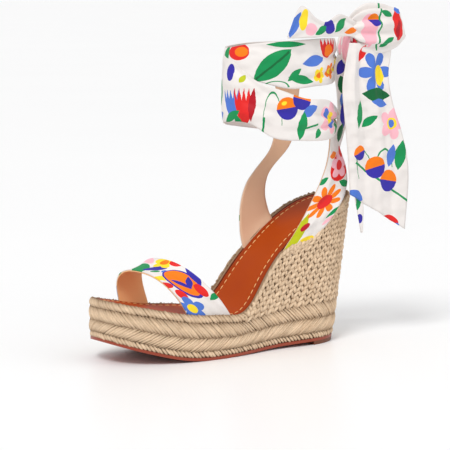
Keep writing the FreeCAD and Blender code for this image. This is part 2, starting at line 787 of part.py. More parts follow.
def flared_loop(x, y, z):
    """Puffed loop that opens away from the knot."""
    reach = size("loop_reach")
    high = size("loop_height")
    deep = size("loop_depth")
    rows = [(0.2, 0.30, 0.35, 8.0), (0.45, 0.95, 1.0, 14.0), (0.75, 1.0, 0.8, 15.0), (1.0, 0.95, 0.3, 16.0)]
    sections = []
    for number, (part, tall, puff, lift) in enumerate(rows):
        middle = Vector(x + reach * part, 0, z + lift)
        half_high, half_deep = high * tall / 2, deep * puff / 2
        near = y + 5.0
        corners = [Vector(middle.x, near - half_deep, middle.z - half_high),
                   Vector(middle.x, near + half_deep, middle.z - half_high),
                   Vector(middle.x, near + half_deep, middle.z + half_high),
                   Vector(middle.x, near - half_deep, middle.z + half_high)]
        edges = [Part.LineSegment(corners[j], corners[(j + 1) % 4]).toShape() for j in range(4)]
        sections.append(wire_feature("bow_loop_section_%d" % number, edges))
    return loft("bow_loop", sections, ruled=False)


def short_ends(x, z):
    """Two short ends that stand along the wrap's top edge, in front of the knot."""
    lefts = [Vector(x, -31.7, z + 4), Vector(x - 10, -32.0, z + 9.5), Vector(x - 28, -35.5, z + 10),
             Vector(x - 42, -38, z + 10), Vector(x - 60, -39, z + 10)]
    rights = [Vector(x + 2, -31.7, z + 12), Vector(x - 7, -32.0, z + 22), Vector(x - 28, -35.5, z + 25),
              Vector(x - 42, -38, z + 24), Vector(x - 56, -39, z + 36)]
    return sheet_between("short_ends", lefts, rights, 0.0, size("tail_thickness"))


# ---------------------------------------------------------------- the whole sandal


def build():
    """Makes every piece."""
    fill_sheet()
    nails = outsole_and_heel()
    strap_tacks()
    shank, rivets = shank_and_rivets()
    cloth, lining = toe_band()
    outer, inner = ankle_tie("outer", -1), ankle_tie("inner", 1)
    wedge_core(nails, shank, rivets)
    insole(rivets)
    jute_bands()
    node(cloth, "toe_band")
    node(lining, "toe_band_lining")
    split_ties(outer, inner)
    ankle_turns()
    knot()
    free_ends()
    doc.recompute()


def check():
    """Stops if any object failed or any piece is not a sound solid."""
    for item in doc.Objects:
        if "Invalid" in item.State or "Error" in item.State:
            raise RuntimeError("failed object: %s %s" % (item.Name, item.State))
    for item in NODES:
        shape = item.Shape
        if shape.isNull() or not shape.isValid() or not shape.Solids:
            raise RuntimeError("bad piece: " + item.Label)


def write():
    """Writes each piece to its own file."""
    os.makedirs("parts", exist_ok=True)
    for item in NODES:
        item.Shape.exportStep("parts/%s.step" % item.Label)
        box = item.Shape.BoundBox
        print("%-26s solids %d volume %9.1f  x %.1f %.1f  y %.1f %.1f  z %.1f %.1f" % (
            item.Label, len(item.Shape.Solids), item.Shape.Volume, box.XMin, box.XMax, box.YMin, box.YMax,
            box.ZMin, box.ZMax))


build()
check()
write()
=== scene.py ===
"""Looks of the left wedge sandal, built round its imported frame: jute, leather and a floral satin scarf.

Lengths are in millimetres in the classes below and become metres when a mesh is made.
"""
import logging
import math
import random
from dataclasses import dataclass, field
from enum import Enum
from typing import Callable, Iterable, Sequence

import bpy
import numpy as np
from mathutils import Matrix, Vector
from mathutils.bvhtree import BVHTree


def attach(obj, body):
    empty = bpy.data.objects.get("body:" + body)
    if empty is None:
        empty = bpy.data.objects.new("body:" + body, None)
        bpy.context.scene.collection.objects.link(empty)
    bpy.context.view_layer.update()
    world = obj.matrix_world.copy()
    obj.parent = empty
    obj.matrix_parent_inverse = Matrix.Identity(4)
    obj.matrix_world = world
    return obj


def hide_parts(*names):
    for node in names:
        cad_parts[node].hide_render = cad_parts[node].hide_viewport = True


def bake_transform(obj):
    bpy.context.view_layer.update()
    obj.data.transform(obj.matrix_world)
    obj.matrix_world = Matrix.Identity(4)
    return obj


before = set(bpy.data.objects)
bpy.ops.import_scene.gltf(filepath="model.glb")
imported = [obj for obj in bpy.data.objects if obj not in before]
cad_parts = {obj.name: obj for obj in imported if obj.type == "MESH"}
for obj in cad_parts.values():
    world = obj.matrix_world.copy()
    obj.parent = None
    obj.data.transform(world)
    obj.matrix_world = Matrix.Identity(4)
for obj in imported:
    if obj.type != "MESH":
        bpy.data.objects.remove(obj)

log = logging.getLogger("wedge_sandal")
MM = 0.001
CLOTH, LINING, LAYER_GAP = 0.8, 1.0, 0.05
STRAP_SLOTS = ("printed_cloth", "lining_leather")
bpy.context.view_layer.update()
Array, Material = np.ndarray, bpy.types.Material
Pair, Triple = tuple[float, float], tuple[float, float, float]
Colour = Triple


# ---------------------------------------------------------------- shader expressions


def tone(red: int, green: int, blue: int) -> Colour:
    """Linear colour of a display colour.

    Args:
        red, green, blue: Display values from 0 to 255.

    Returns:
        The three linear values.
    """
    return tuple(round(math.pow(value / 255, 2.2), 4) for value in (red, green, blue))


def operator(operation: str, flipped: bool = False) -> Callable[..., "Link"]:
    """Makes a method that adds one Math node on its operands.

    Args:
        operation: The node's operation.
        flipped: Whether the link comes after the other operand.

    Returns:
        The method.
    """
    def apply(link: "Link", *others: object) -> "Link":
        """Adds the node."""
        return link.recipe.math(operation, *((*others, link) if flipped else (link, *others)))
    return apply


@dataclass(frozen=True)
class Link:
    """An output socket that adds Math nodes when it stands in an expression."""

    recipe: "Recipe"
    socket: bpy.types.NodeSocket

    __add__, __radd__ = operator("ADD"), operator("ADD", True)
    __sub__, __rsub__ = operator("SUBTRACT"), operator("SUBTRACT", True)
    __mul__, __rmul__ = operator("MULTIPLY"), operator("MULTIPLY", True)
    __truediv__, __abs__ = operator("DIVIDE"), operator("ABSOLUTE")
    __lt__, __gt__ = operator("LESS_THAN"), operator("GREATER_THAN")


class Recipe:
    """A material whose node tree is written as expressions."""

    def __init__(self, name: str) -> None:
        """Starts an empty tree.

        Args:
            name: The material's name.
        """
        self.material = bpy.data.materials.new(name)
        self.material.use_nodes = True
        self.nodes = self.material.node_tree.nodes
        self.links = self.material.node_tree.links
        self.nodes.clear()

    def node(self, kind: str, settings: dict[str, object], inputs: dict[object, object], output: object = 0) -> Link:
        """Adds a node.

        Args:
            kind: The node's type without its ShaderNode prefix.
            settings: Attributes, set first.
            inputs: Values or links by the socket's name or number.
            output: The output that is wanted.

        Returns:
            That output.
        """
        made = self.nodes.new("ShaderNode" + kind)
        for key, value in settings.items():
            setattr(made, key, value)
        for key, value in inputs.items():
            if isinstance(value, Link):
                self.links.new(value.socket, made.inputs[key])
            else:
                made.inputs[key].default_value = value
        return Link(self, made.outputs[output])

    def math(self, operation: str, *values: object) -> Link:
        """Adds a Math node on numbers or links."""
        return self.node("Math", {"operation": operation}, dict(enumerate(values)))

    def vector(self, operation: str, *values: object, output: object = 0) -> Link:
        """Adds a Vector Math node."""
        return self.node("VectorMath", {"operation": operation}, dict(enumerate(values)), output)

    def mix(self, factor: object, low: object, high: object) -> Link:
        """Mixes two colours.

        Args:
            factor: 0 gives low and 1 gives high.
            low, high: Colours or links.

        Returns:
            The mixed colour.
        """
        sides = [value if isinstance(value, Link) else (*value, 1.0) for value in (low, high)]
        return self.node("Mix", {"data_type": "RGBA"}, {0: factor, 6: sides[0], 7: sides[1]}, 2)

    def attribute(self, name: str, output: str) -> Link:
        """Reads a mesh attribute."""
        return self.node("Attribute", {"attribute_name": name}, {}, output)

    def place(self) -> Link:
        """Position on the piece, in metres."""
        return self.node("TexCoord", {}, {}, "Object")

    def noise(self, at: Link, scale: float, detail: float = 3.0, roughness: float = 0.5) -> Link:
        """Noise between 0 and 1."""
        return self.node("TexNoise", {}, {"Vector": at, "Scale": scale, "Detail": detail, "Roughness": roughness})

    def stretched(self, at: Link, scale: Sequence[float]) -> Link:
        """Coordinates scaled by three factors."""
        return self.vector("MULTIPLY", at, tuple(scale))

    def grain(self, at: Link, scale: float, fine_scale: float, fine_share: float, depth: float) -> Link:
        """Normal of a fine leather grain: cells of one scale with some noise of another."""
        pores = self.node("TexVoronoi", {"feature": "DISTANCE_TO_EDGE"}, {"Vector": at, "Scale": scale})
        return self.bump(pores + self.noise(at, fine_scale) * fine_share, depth, 0.6)

    def bump(self, height: Link, distance: float, strength: float = 1.0, under: Link | None = None) -> Link:
        """Normal from a height.

        Args:
            height: Height, 0 to 1.
            distance: What 1 stands for, in metres.
            strength: Share of the bump that is used.
            under: A normal to start from.

        Returns:
            The normal.
        """
        inputs = {"Height": height, "Distance": distance, "Strength": strength}
        if under is not None:
            inputs["Normal"] = under
        return self.node("Bump", {}, inputs)

    def finish(self, colour: object, roughness: object, normal: Link | None = None,
               constants: dict[str, object] | None = None) -> Material:
        """Closes the tree with one Principled shader.

        Args:
            colour: Colour or link.
            roughness: Number or link.
            normal: Normal link.
            constants: Plain values of other sockets.

        Returns:
            The material.
        """
        base = colour if isinstance(colour, Link) else (*colour, 1.0)
        inputs = {"Base Color": base, "Roughness": roughness, **(constants or {})}
        if normal is not None:
            inputs["Normal"] = normal
        shader = self.node("BsdfPrincipled", {}, inputs)
        out = self.nodes.new("ShaderNodeOutputMaterial")
        self.links.new(shader.socket, out.inputs["Surface"])
        return self.material


# ---------------------------------------------------------------- finishes


@dataclass(frozen=True)
class Jute:
    """Plaited jute: straw-coloured fibre bundles with fine streaks, and painted shade that darkens the hollows."""

    name: str = "jute"
    light: Colour = tone(255, 230, 200)
    middle: Colour = tone(228, 194, 156)
    # dark: colour of the dark fibre streaks and of the painted shade
    dark: Colour = tone(104, 72, 42)
    streaks: float = 9.0

    def material(self) -> Material:
        """Builds the material."""
        r = Recipe(self.name)
        along = r.attribute("strand", "Vector")
        shade = r.attribute("shade", "Fac")
        fibre = r.noise(r.stretched(along, (0.25, self.streaks, 1.0)), 1.0, 4.0, 0.62)
        patch = r.noise(r.place(), 55.0, 3.0)
        fuzz = r.noise(r.place(), 900.0, 2.0)
        colour = r.mix(fibre * 1.5 - 0.25, self.middle, self.light)
        colour = r.mix((patch - 0.42) * 0.9, colour, self.middle)
        colour = r.mix((0.46 - fibre) * 2.2, colour, self.dark)
        # painted shade from the shade attribute: hollows, wall-facing sides and the backing blend towards dark
        colour = r.mix(1 - shade, colour, self.dark)
        normal = r.bump(fibre + fuzz * 0.3, 0.0007, 0.8)
        return r.finish(colour, 0.82, normal, {"Specular IOR Level": 0.25})


@dataclass(frozen=True)
class Leather:
    """Smooth leather: even colour with soft clouds, fine grain and creases."""

    name: str
    colour: Colour
    worn: Colour
    grain: float = 1400.0
    gloss: float = 0.42
    depth: float = 0.00006

    def material(self) -> Material:
        """Builds the material."""
        r = Recipe(self.name)
        at = r.place()
        cloud = r.noise(at, 26.0, 4.0, 0.6)
        colour = r.mix((cloud - 0.35) * 1.1, self.colour, self.worn)
        normal = r.grain(at, self.grain, self.grain * 0.6, 0.5, self.depth)
        return r.finish(colour, self.gloss + (cloud - 0.5) * 0.18, normal, {"Specular IOR Level": 0.4})


@dataclass(frozen=True)
class SockLeather:
    """The insole's leather: orange-brown, deeper along its rolled edge, with a thin painted shadow line at the very
    edge along the rope, and a row of needle dents.
    """

    name: str = "sock_leather"
    middle: Colour = tone(176, 72, 0)
    deep: Colour = tone(162, 60, 0)
    edge: Colour = tone(146, 54, 10)
    # rim: colour of the painted shadow line along the rope
    rim: Colour = tone(96, 40, 20)

    def material(self) -> Material:
        """Builds the material. The attribute border counts millimetres from the edge."""
        r = Recipe(self.name)
        at = r.place()
        border = r.attribute("border", "Fac")
        cloud = r.noise(at, 30.0, 4.0, 0.6)
        colour = r.mix(cloud, self.deep, self.middle)
        colour = r.mix(border < 5.4, colour, r.mix(cloud, self.edge, self.deep))
        # painted shadow: within about 0.9 mm of the edge the leather blends to rim
        colour = r.mix((0.9 - border) * 1.2, colour, self.rim)
        normal = r.grain(at, 1100.0, 1500.0, 0.4, 0.00005)
        return r.finish(colour, 0.46 + cloud * 0.16, normal, {"Specular IOR Level": 0.12})


@dataclass(frozen=True)
class Metal:
    """Brushed steel of the hidden shank, nails, rivets and tacks."""

    name: str = "steel"

    def material(self) -> Material:
        """Builds the material."""
        r = Recipe(self.name)
        brushed = r.noise(r.stretched(r.place(), (40.0, 900.0, 900.0)), 1.0, 3.0)
        colour = r.mix(brushed, tone(150, 150, 152), tone(205, 205, 208))
        return r.finish(colour, 0.25 + brushed * 0.2, r.bump(brushed, 0.00002), {"Metallic": 1.0})


@dataclass(frozen=True)
class Pressed:
    """Pressed cork, board or foam: a speckled body."""

    name: str
    body: Colour
    fleck: Colour
    scale: float

    def material(self) -> Material:
        """Builds the material."""
        r = Recipe(self.name)
        cells = r.node("TexVoronoi", {}, {"Vector": r.place(), "Scale": self.scale}, "Color")
        share = r.vector("DOT_PRODUCT", cells, (0.33, 0.33, 0.33), output="Value")
        fine = r.noise(r.place(), self.scale * 2, 3.0)
        return r.finish(r.mix(share, self.body, self.fleck), 0.85, r.bump(share + fine, 0.0003))


@dataclass(frozen=True)
class Thread:
    """Waxed thread of the running stitch."""

    name: str = "stitch_thread"
    light: Colour = tone(250, 214, 150)
    dark: Colour = tone(226, 160, 92)

    def material(self) -> Material:
        """Builds the material."""
        r = Recipe(self.name)
        ply = r.noise(r.place(), 1800.0, 2.0)
        return r.finish(r.mix(ply, self.dark, self.light), 0.6, r.bump(ply, 0.0001))


class Form(Enum):
    """Outline of one printed shape."""

    DISC = "disc"
    LEAF = "leaf"
    PETALS = "petals"
    DAISY = "daisy"
    ARC = "arc"
    BAR = "bar"
    HALF = "half"
    TOOTHED = "toothed"


class Ink(Enum):
    """Colours of the print."""

    GREEN = tone(0, 142, 80)
    DEEP_GREEN = tone(2, 100, 54)
    LIME = tone(186, 192, 16)
    YELLOW = tone(250, 218, 46)
    ORANGE = tone(246, 122, 6)
    RED = tone(224, 36, 34)
    DARK_RED = tone(178, 4, 32)
    PINK = tone(250, 184, 196)
    BLUE = tone(78, 118, 206)
    VIOLET = tone(52, 44, 160)


@dataclass(frozen=True)
class Shape:
    """One printed shape, in the cloth's own millimetres."""

    form: Form
    ink: Ink
    at: Pair
    half: Pair
    turn: float = 0.0
    count: float = 5.0

    def mask(self, r: Recipe, cloth: Link) -> Link:
        """Where the shape covers the cloth.

        Args:
            r: The recipe that gets the nodes.
            cloth: The cloth's coordinates.

        Returns:
            1 inside and 0 outside.
        """
        here = r.node("Mapping", {"vector_type": "TEXTURE"}, {
            "Vector": cloth, "Location": (*self.at, 0.0), "Rotation": (0.0, 0.0, math.radians(self.turn)),
            "Scale": (*self.half, 1.0)})
        reach = r.vector("LENGTH", here, output="Value")
        if self.form is Form.DISC:
            return reach < 1.0
        x, y = (r.node("SeparateXYZ", {}, {0: here}, axis) for axis in "XY")
        if self.form is Form.LEAF:
            return (abs(y) + x * x) < 1.0
        if self.form is Form.BAR:
            return r.math("MAXIMUM", abs(x), abs(y)) < 1.0
        if self.form is Form.HALF:
            return (reach < 1.0) * (y > 0.0)
        if self.form is Form.TOOTHED:
            teeth = r.math("PINGPONG", x, 0.22) * 1.6
            return (reach < 1.0) * (y > teeth)
        if self.form is Form.ARC:
            width = 0.9 / max(self.half)
            return (abs(reach - 1.0) < width) * (y > 0.0)
        angle = r.math("ARCTAN2", y, x)
        if self.form is Form.PETALS:
            return (reach - abs(r.math("COSINE", angle * (self.count / 2))) * 0.42) < 0.58
        petal = r.math("PINGPONG", angle * (self.count / (2 * math.pi)), 0.5)
        return (reach + r.math("POWER", petal * 2, 2.2) * 0.62) < 1.0


def leaf(a: float, b: float, long: float, wide: float, turn: float, ink: Ink = Ink.GREEN) -> Shape:
    """One leaf, long along its turn."""
    return Shape(Form.LEAF, ink, (a, b), (long, wide), turn)


def disc(a: float, b: float, wide: float, tall: float, ink: Ink, turn: float = 0.0) -> Shape:
    """One oval."""
    return Shape(Form.DISC, ink, (a, b), (wide, tall), turn)


def stem(a: float, b: float, long: float, turn: float, ink: Ink = Ink.GREEN) -> Shape:
    """One straight stalk."""
    return Shape(Form.BAR, ink, (a, b), (long, 0.9), turn)


def hook(a: float, b: float, wide: float, tall: float, turn: float = 0.0) -> Shape:
    """One arched stalk."""
    return Shape(Form.ARC, Ink.GREEN, (a, b), (wide, tall), turn)


def blossom(a: float, b: float, size: float, ink: Ink, middle: Ink, turn: float = 0.0) -> tuple[Shape, ...]:
    """A round-petalled flower with its eye."""
    return (Shape(Form.PETALS, ink, (a, b), (size, size), turn),
            disc(a, b, size * 0.36, size * 0.36, middle))


def daisy(a: float, b: float, size: float, ink: Ink, middle: Ink, count: float = 9.0) -> tuple[Shape, ...]:
    """A flower of narrow petals with its eye."""
    return (Shape(Form.DAISY, ink, (a, b), (size, size), 12.0, count),
            disc(a, b, size * 0.42, size * 0.42, middle))


def fruit(a: float, b: float, size: float, turn: float = 0.0) -> tuple[Shape, ...]:
    """A two-coloured round fruit."""
    return (disc(a, b, size, size * 0.95, Ink.ORANGE, turn),
            Shape(Form.HALF, Ink.VIOLET, (a, b), (size, size), turn + 180))


def tulip(a: float, b: float, wide: float, tall: float, ink: Ink, turn: float = 0.0) -> Shape:
    """A cup with a toothed rim; a and b are the middle of the rim."""
    return Shape(Form.TOOTHED, ink, (a, b), (wide, tall), turn + 180)


GREEN, DEEP_GREEN, LIME, YELLOW, ORANGE, RED, DARK_RED, PINK, BLUE, VIOLET = Ink
PRINTS = {
    "lower_turn": (
        disc(149, 229, 4, 7, VIOLET), leaf(161, 224, 4, 2.5, 50, LIME), tulip(150, 215, 9, 22, BLUE),
        tulip(163, 217, 9.5, 30, RED), leaf(170, 203, 14, 3, 84, DARK_RED), leaf(150, 193, 10, 3.5, 30),
        leaf(157, 189, 8, 3, 120), hook(187, 186, 8, 27), stem(179, 184, 9, 82), *fruit(200, 200, 9.5, 8),
        disc(197, 204, 2.5, 1.6, YELLOW, 20), *fruit(214, 207, 9, -15), leaf(222, 197, 9, 4.5, 25, BLUE),
        leaf(214, 185, 12, 4.5, 78), stem(223, 184, 8, 12), leaf(231, 178, 5, 2.6, 55),
        *blossom(248, 190, 14, PINK, YELLOW), disc(243, 194, 3, 5, BLUE, 30), disc(252, 185, 5, 3, BLUE, 30),
        *daisy(276, 192, 11, ORANGE, RED), leaf(262, 183, 8, 3, 60), leaf(8, 190, 11, 4, 30),
        *blossom(28, 192, 11, BLUE, YELLOW), leaf(44, 196, 10, 4, 110), *fruit(60, 194, 9),
        tulip(82, 206, 9, 22, RED), leaf(98, 196, 11, 4, 40), *blossom(116, 208, 12, ORANGE, VIOLET),
        leaf(132, 212, 12, 4.5, 80), leaf(128, 192, 9, 3.5, 20, BLUE)),
    "upper_turn": (
        disc(150, 246, 10, 7, RED), disc(153, 246, 6, 4, ORANGE), leaf(136, 243, 9, 4, 75),
        leaf(192, 252, 18, 2.5, 0), leaf(180, 235, 21, 9, 38), stem(180, 235, 18, 38, DEEP_GREEN),
        leaf(219, 238, 13, 4.5, 10, BLUE), tulip(238, 256, 12, 16, RED), disc(239, 246, 6, 5, ORANGE),
        leaf(206, 223, 13, 3.6, -10), leaf(199, 227, 8, 3, 40), hook(183, 217, 11, 5),
        *blossom(226, 226, 7, YELLOW, ORANGE), *blossom(241, 229, 7, ORANGE, YELLOW),
        *blossom(254, 233, 7, YELLOW, RED), leaf(266, 244, 9, 4, 50), *fruit(278, 236, 9), leaf(8, 240, 11, 4, 20),
        *daisy(26, 236, 11, ORANGE, RED), leaf(44, 240, 10, 4, 120), tulip(62, 250, 9, 22, DARK_RED),
        leaf(78, 238, 11, 4, 40, BLUE), *blossom(98, 238, 11, PINK, RED), leaf(116, 240, 12, 4, 60)),
    "toe_band": (
        disc(88, 10, 12, 3.5, PINK, 25), leaf(78, -6, 15, 7, 42), disc(66, -2, 4, 9, VIOLET, 40),
        *blossom(68, 9, 9, YELLOW, ORANGE), disc(61, 13, 4.5, 4, RED), disc(61, -6, 2, 3.5, GREEN, 30),
        disc(57, -1, 2, 2.5, BLUE), leaf(48, -11, 4, 10, 0, YELLOW), disc(38, -17, 4, 6, RED),
        disc(39, 1, 18, 12, VIOLET), disc(40, 1, 16, 10, ORANGE), leaf(38, 5, 8, 2.5, 35, VIOLET),
        leaf(38, -2, 8, 2.5, -35, VIOLET), disc(26, -12, 6, 4.5, RED), disc(29, 9, 7, 4.5, RED),
        *blossom(11, -12, 13, BLUE, YELLOW), leaf(44, 14, 11, 3.5, 10, VIOLET), leaf(22, 16, 7, 2.5, 60),
        leaf(104, -4, 12, 5, 70), *blossom(118, 6, 10, ORANGE, RED), disc(124, -12, 6, 4, BLUE),
        leaf(136, 2, 10, 4, 20), *blossom(148, -4, 9, PINK, YELLOW)),
    "outer_tie": (
        leaf(20, -13, 25, 7, -2, LIME), disc(14, 3, 4, 8, YELLOW, 10), disc(30, -9, 4, 4, DARK_RED),
        *daisy(54, -3, 17, ORANGE, RED), leaf(40, 14, 8, 3, 40), leaf(70, 13, 8, 3, 110), leaf(75, -14, 6, 3, 60),
        disc(85, 4, 12, 12, RED), *blossom(87, 4, 12, PINK, RED), disc(98, 10, 5, 4, RED),
        leaf(97, -6, 6, 3, 80, ORANGE), disc(31, 13, 5, 3, PINK, 40)),
    "runner": (
        leaf(17, 232, 8, 5, 60, VIOLET), leaf(19, 216, 9, 5, 110, DEEP_GREEN), disc(22, 204, 5, 7, BLUE),
        disc(23, 211, 3, 3, YELLOW), leaf(22, 190, 11, 4, 100, VIOLET), leaf(20, 176, 8, 4, 80, DEEP_GREEN)),
    "inner_tie": (
        leaf(18, -4, 12, 4, 60), disc(32, 4, 5, 4, VIOLET), *blossom(46, -3, 8, RED, YELLOW),
        leaf(60, 6, 10, 3.5, 100), *daisy(76, -2, 9, ORANGE, RED), leaf(92, 4, 8, 3, 40, BLUE),
        leaf(30, -12, 9, 2.5, 80)),
    "knot": (
        disc(27, 248, 13, 15, PINK), leaf(24, 252, 9, 3, 70, DARK_RED), leaf(30, 243, 8, 2, 100, RED),
        disc(33, 257, 4, 4, ORANGE), leaf(28, 259, 7, 3, 60), hook(30, 241, 6, 5)),
    "loop": (
        disc(36, 262, 7, 14, PINK), *fruit(41, 271, 5.5), stem(46, 265, 20, 84), disc(67, 266, 6, 13, RED, 8),
        leaf(67, 262, 9, 2.5, 80, DARK_RED), disc(69, 279, 5, 3.5, BLUE), leaf(54, 252, 8, 3, 30),
        leaf(54, 276, 7, 2.5, -20)),
    "tail": (
        Shape(Form.DAISY, BLUE, (43, 227), (16, 18), 0.0, 6.0), disc(47, 224, 5, 9, YELLOW, 8),
        leaf(44, 208, 14, 6, -5, DEEP_GREEN), leaf(47, 201, 9, 3.5, -12, BLUE), *blossom(60, 183, 14, PINK, YELLOW),
        disc(60, 183, 3, 3.5, BLUE), stem(50, 134, 34, -32), hook(34, 141, 9, 24, 20), hook(52, 146, 9, 16),
        *fruit(26, 160, 6.5, 20), *fruit(43, 147, 9.5, 15), *fruit(57, 135, 9.5, -10), leaf(70, 156, 13, 5.5, 80),
        leaf(60, 156, 10, 5, 70, BLUE), leaf(23, 124, 9, 4.5, -30, BLUE), disc(60, 100, 9, 5, RED, -20),
        disc(66, 95, 4, 3, BLUE), leaf(26, 192, 12, 4, 80), leaf(36, 186, 9, 3.5, 30),
        leaf(30, 243, 8, 3.5, 60, RED)),
    "fold": (
        leaf(27, 120, 9, 3, 80), disc(28, 104, 3, 4, VIOLET)),
    "ends": (
        leaf(-44, 268, 12, 4, 60, BLUE), disc(-35, 272, 4, 9, YELLOW, -15), disc(-28, 264, 6, 5, PINK),
        disc(-8, 266, 6, 6, VIOLET), leaf(-17, 263, 7, 3, 30), leaf(5, 267, 9, 3.5, 40),
        leaf(18, 262, 8, 2.5, 10, ORANGE)),
}


@dataclass(frozen=True)
class Satin:
    """Printed scarf satin: white ground, shapes in flat inks, fine weave and a soft sheen."""

    name: str
    shapes: tuple[Shape, ...]
    ground: Colour = tone(236, 230, 226)
    back: Colour = tone(212, 202, 196)

    def material(self) -> Material:
        """Builds the material. The attribute cloth holds the cloth's own millimetres."""
        r = Recipe(self.name)
        cloth = r.attribute("cloth", "Vector")
        slub = r.noise(r.stretched(cloth, (0.12, 1.6, 1.0)), 1.0, 3.0)
        wobble = r.noise(cloth, 0.22, 2.0)
        colour = r.mix(slub * 0.22, self.ground, self.back)
        moved = r.vector("ADD", cloth, r.node("CombineXYZ", {}, {0: (wobble - 0.5) * 1.6, 1: (slub - 0.5) * 0.3}))
        for shape in self.shapes:
            colour = r.mix(shape.mask(r, moved), colour, shape.ink.value)
        warp, weft = (r.node("TexWave", {"bands_direction": way}, {"Vector": cloth, "Scale": 1.1, "Distortion": 0.4})
                      for way in "XY")
        soft = r.noise(r.stretched(cloth, (0.045, 0.06, 1.0)), 1.0, 1.0)
        normal = r.bump(warp + weft + slub, 0.00004, 0.4, r.bump(soft, 0.010, 0.6))
        return r.finish(colour, 0.46 + slub * 0.16, normal, {"Specular IOR Level": 0.3})


# ---------------------------------------------------------------- mesh making


@dataclass
class Mesh:
    """Points, faces and point attributes that are gathered before one object is made of them."""

    points: list[Array] = field(default_factory=list)
    faces: list[tuple[int, ...]] = field(default_factory=list)
    vectors: list[Array] = field(default_factory=list)
    numbers: list[Array] = field(default_factory=list)
    total: int = 0

    def add(self, points: Array, faces: Iterable[tuple[int, ...]], vectors: Array | None = None,
            numbers: Array | float = 1.0) -> None:
        """Adds one patch.

        Args:
            points: Positions in millimetres, with three coordinates along the last axis.
            faces: Corner numbers within the patch.
            vectors: The vector attribute, one row per point.
            numbers: The number attribute.
        """
        points = points.reshape(-1, 3)
        self.points.append(points)
        self.vectors.append(np.zeros_like(points) if vectors is None else vectors.reshape(-1, 3))
        self.numbers.append(np.broadcast_to(np.asarray(numbers, float), (len(points),)))
        self.faces += [tuple(corner + self.total for corner in face) for face in faces]
        self.total += len(points)

    def make(self, name: str, material: Material, vector_name: str = "cloth",
             number_name: str = "shade") -> bpy.types.Object:
        """Makes the object.

        Args:
            name: Object name.
            material: Its material.
            vector_name, number_name: Names of the two attributes.

        Returns:
            The new object, smooth shaded.
        """
        data = bpy.data.meshes.new(name)
        data.from_pydata((np.vstack(self.points) * MM).tolist(), [], self.faces)
        data.polygons.foreach_set("use_smooth", [True] * len(self.faces))
        vectors = data.attributes.new(vector_name, "FLOAT_VECTOR", "POINT")
        vectors.data.foreach_set("vector", np.vstack(self.vectors).astype(np.float32).ravel())
        numbers = data.attributes.new(number_name, "FLOAT", "POINT")
        numbers.data.foreach_set("value", np.concatenate(self.numbers).astype(np.float32))
        data.update()
        data.materials.append(material)
        log.info("%s: %d points, %d faces", name, len(data.vertices), len(data.polygons))
        return show(name, data)


def show(name: str, data: bpy.types.ID) -> bpy.types.Object:
    """Puts a new object of some data into the scene."""
    made = bpy.data.objects.new(name, data)
    bpy.context.scene.collection.objects.link(made)
    return made


def settle(piece: bpy.types.Object, body: str, slot: str, *nodes: str) -> None:
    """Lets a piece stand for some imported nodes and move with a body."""
    if nodes:
        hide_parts(*nodes)
    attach(piece, body)


def grid_faces(rows: int, columns: int, wrap_rows: bool = False, wrap_columns: bool = False) -> list[tuple[int, ...]]:
    """Quads of a grid whose points run column by column within each row.

    Args:
        rows, columns: Grid size.
        wrap_rows, wrap_columns: Whether the last joins the first.

    Returns:
        The faces.
    """
    faces = []
    for i in range(rows if wrap_rows else rows - 1):
        for j in range(columns if wrap_columns else columns - 1):
            k, m = (i + 1) % rows, (j + 1) % columns
            faces.append((i * columns + j, i * columns + m, k * columns + m, k * columns + j))
    return faces


def tube_faces(rings: int, sides: int) -> list[tuple[int, ...]]:
    """Faces of a tube with closed ends, whose points run round within each ring."""
    ends = [tuple(reversed(range(sides))), tuple(range((rings - 1) * sides, rings * sides))]
    return grid_faces(rings, sides, wrap_columns=True) + ends


def around(count: int) -> Array:
    """Evenly spaced angles of a full turn."""
    return np.linspace(0, 2 * math.pi, count, endpoint=False)


def run_along(points: Array) -> Array:
    """Length from the first point of a line to each of its points."""
    return np.concatenate([[0], np.cumsum(np.linalg.norm(np.diff(points, axis=0), axis=1))])


def between(front: Array, back: Array, share: Array) -> Array:
    """Grid of points at some shares of the way from one edge to the other."""
    return front[:, None] * (1 - share)[None, :, None] + back[:, None] * share[None, :, None]


def unit(vectors: Array) -> Array:
    """Vectors scaled to length 1 along the last axis."""
    return vectors / np.maximum(np.linalg.norm(vectors, axis=-1, keepdims=True), 1e-9)


def smooth_path(points: Sequence[Sequence[float]], count: int) -> Array:
    """Evenly spaced points on a smooth curve through some points.

    Args:
        points: The points that the curve passes.
        count: How many to return.

    Returns:
        The points, one row each.
    """
    p = np.asarray(points, float)
    ends = np.vstack([2 * p[0] - p[1], p, 2 * p[-1] - p[-2]])
    t = np.linspace(0, 1, 12, endpoint=False)[:, None]
    dense = []
    for a, b, c, d in zip(ends, ends[1:], ends[2:], ends[3:]):
        dense.append(0.5 * (2 * b + (c - a) * t + (2 * a - 5 * b + 4 * c - d) * t ** 2
                            + (3 * b - 3 * c + d - a) * t ** 3))
    dense = np.vstack(dense + [p[-1:]])
    run = run_along(dense)
    want = np.linspace(0, run[-1], count)
    return np.stack([np.interp(want, run, dense[:, k]) for k in range(dense.shape[1])], axis=1)


def curve(keys: Sequence[Pair], at: Array | float) -> Array:
    """Smooth values between keys.

    Args:
        keys: Place and value pairs in rising order.
        at: Where the value is wanted.

    Returns:
        The values, eased between keys.
    """
    places, values = (np.array(column, float) for column in zip(*keys))
    at = np.clip(at, places[0], places[-1])
    slopes = np.gradient(values, places)
    k = np.clip(np.searchsorted(places, at, side="right") - 1, 0, len(places) - 2)
    width = places[k + 1] - places[k]
    t = (at - places[k]) / width
    return ((2 * t ** 3 - 3 * t ** 2 + 1) * values[k] + (t ** 3 - 2 * t ** 2 + t) * width * slopes[k]
            + (3 * t ** 2 - 2 * t ** 3) * values[k + 1] + (t ** 3 - t ** 2) * width * slopes[k + 1])


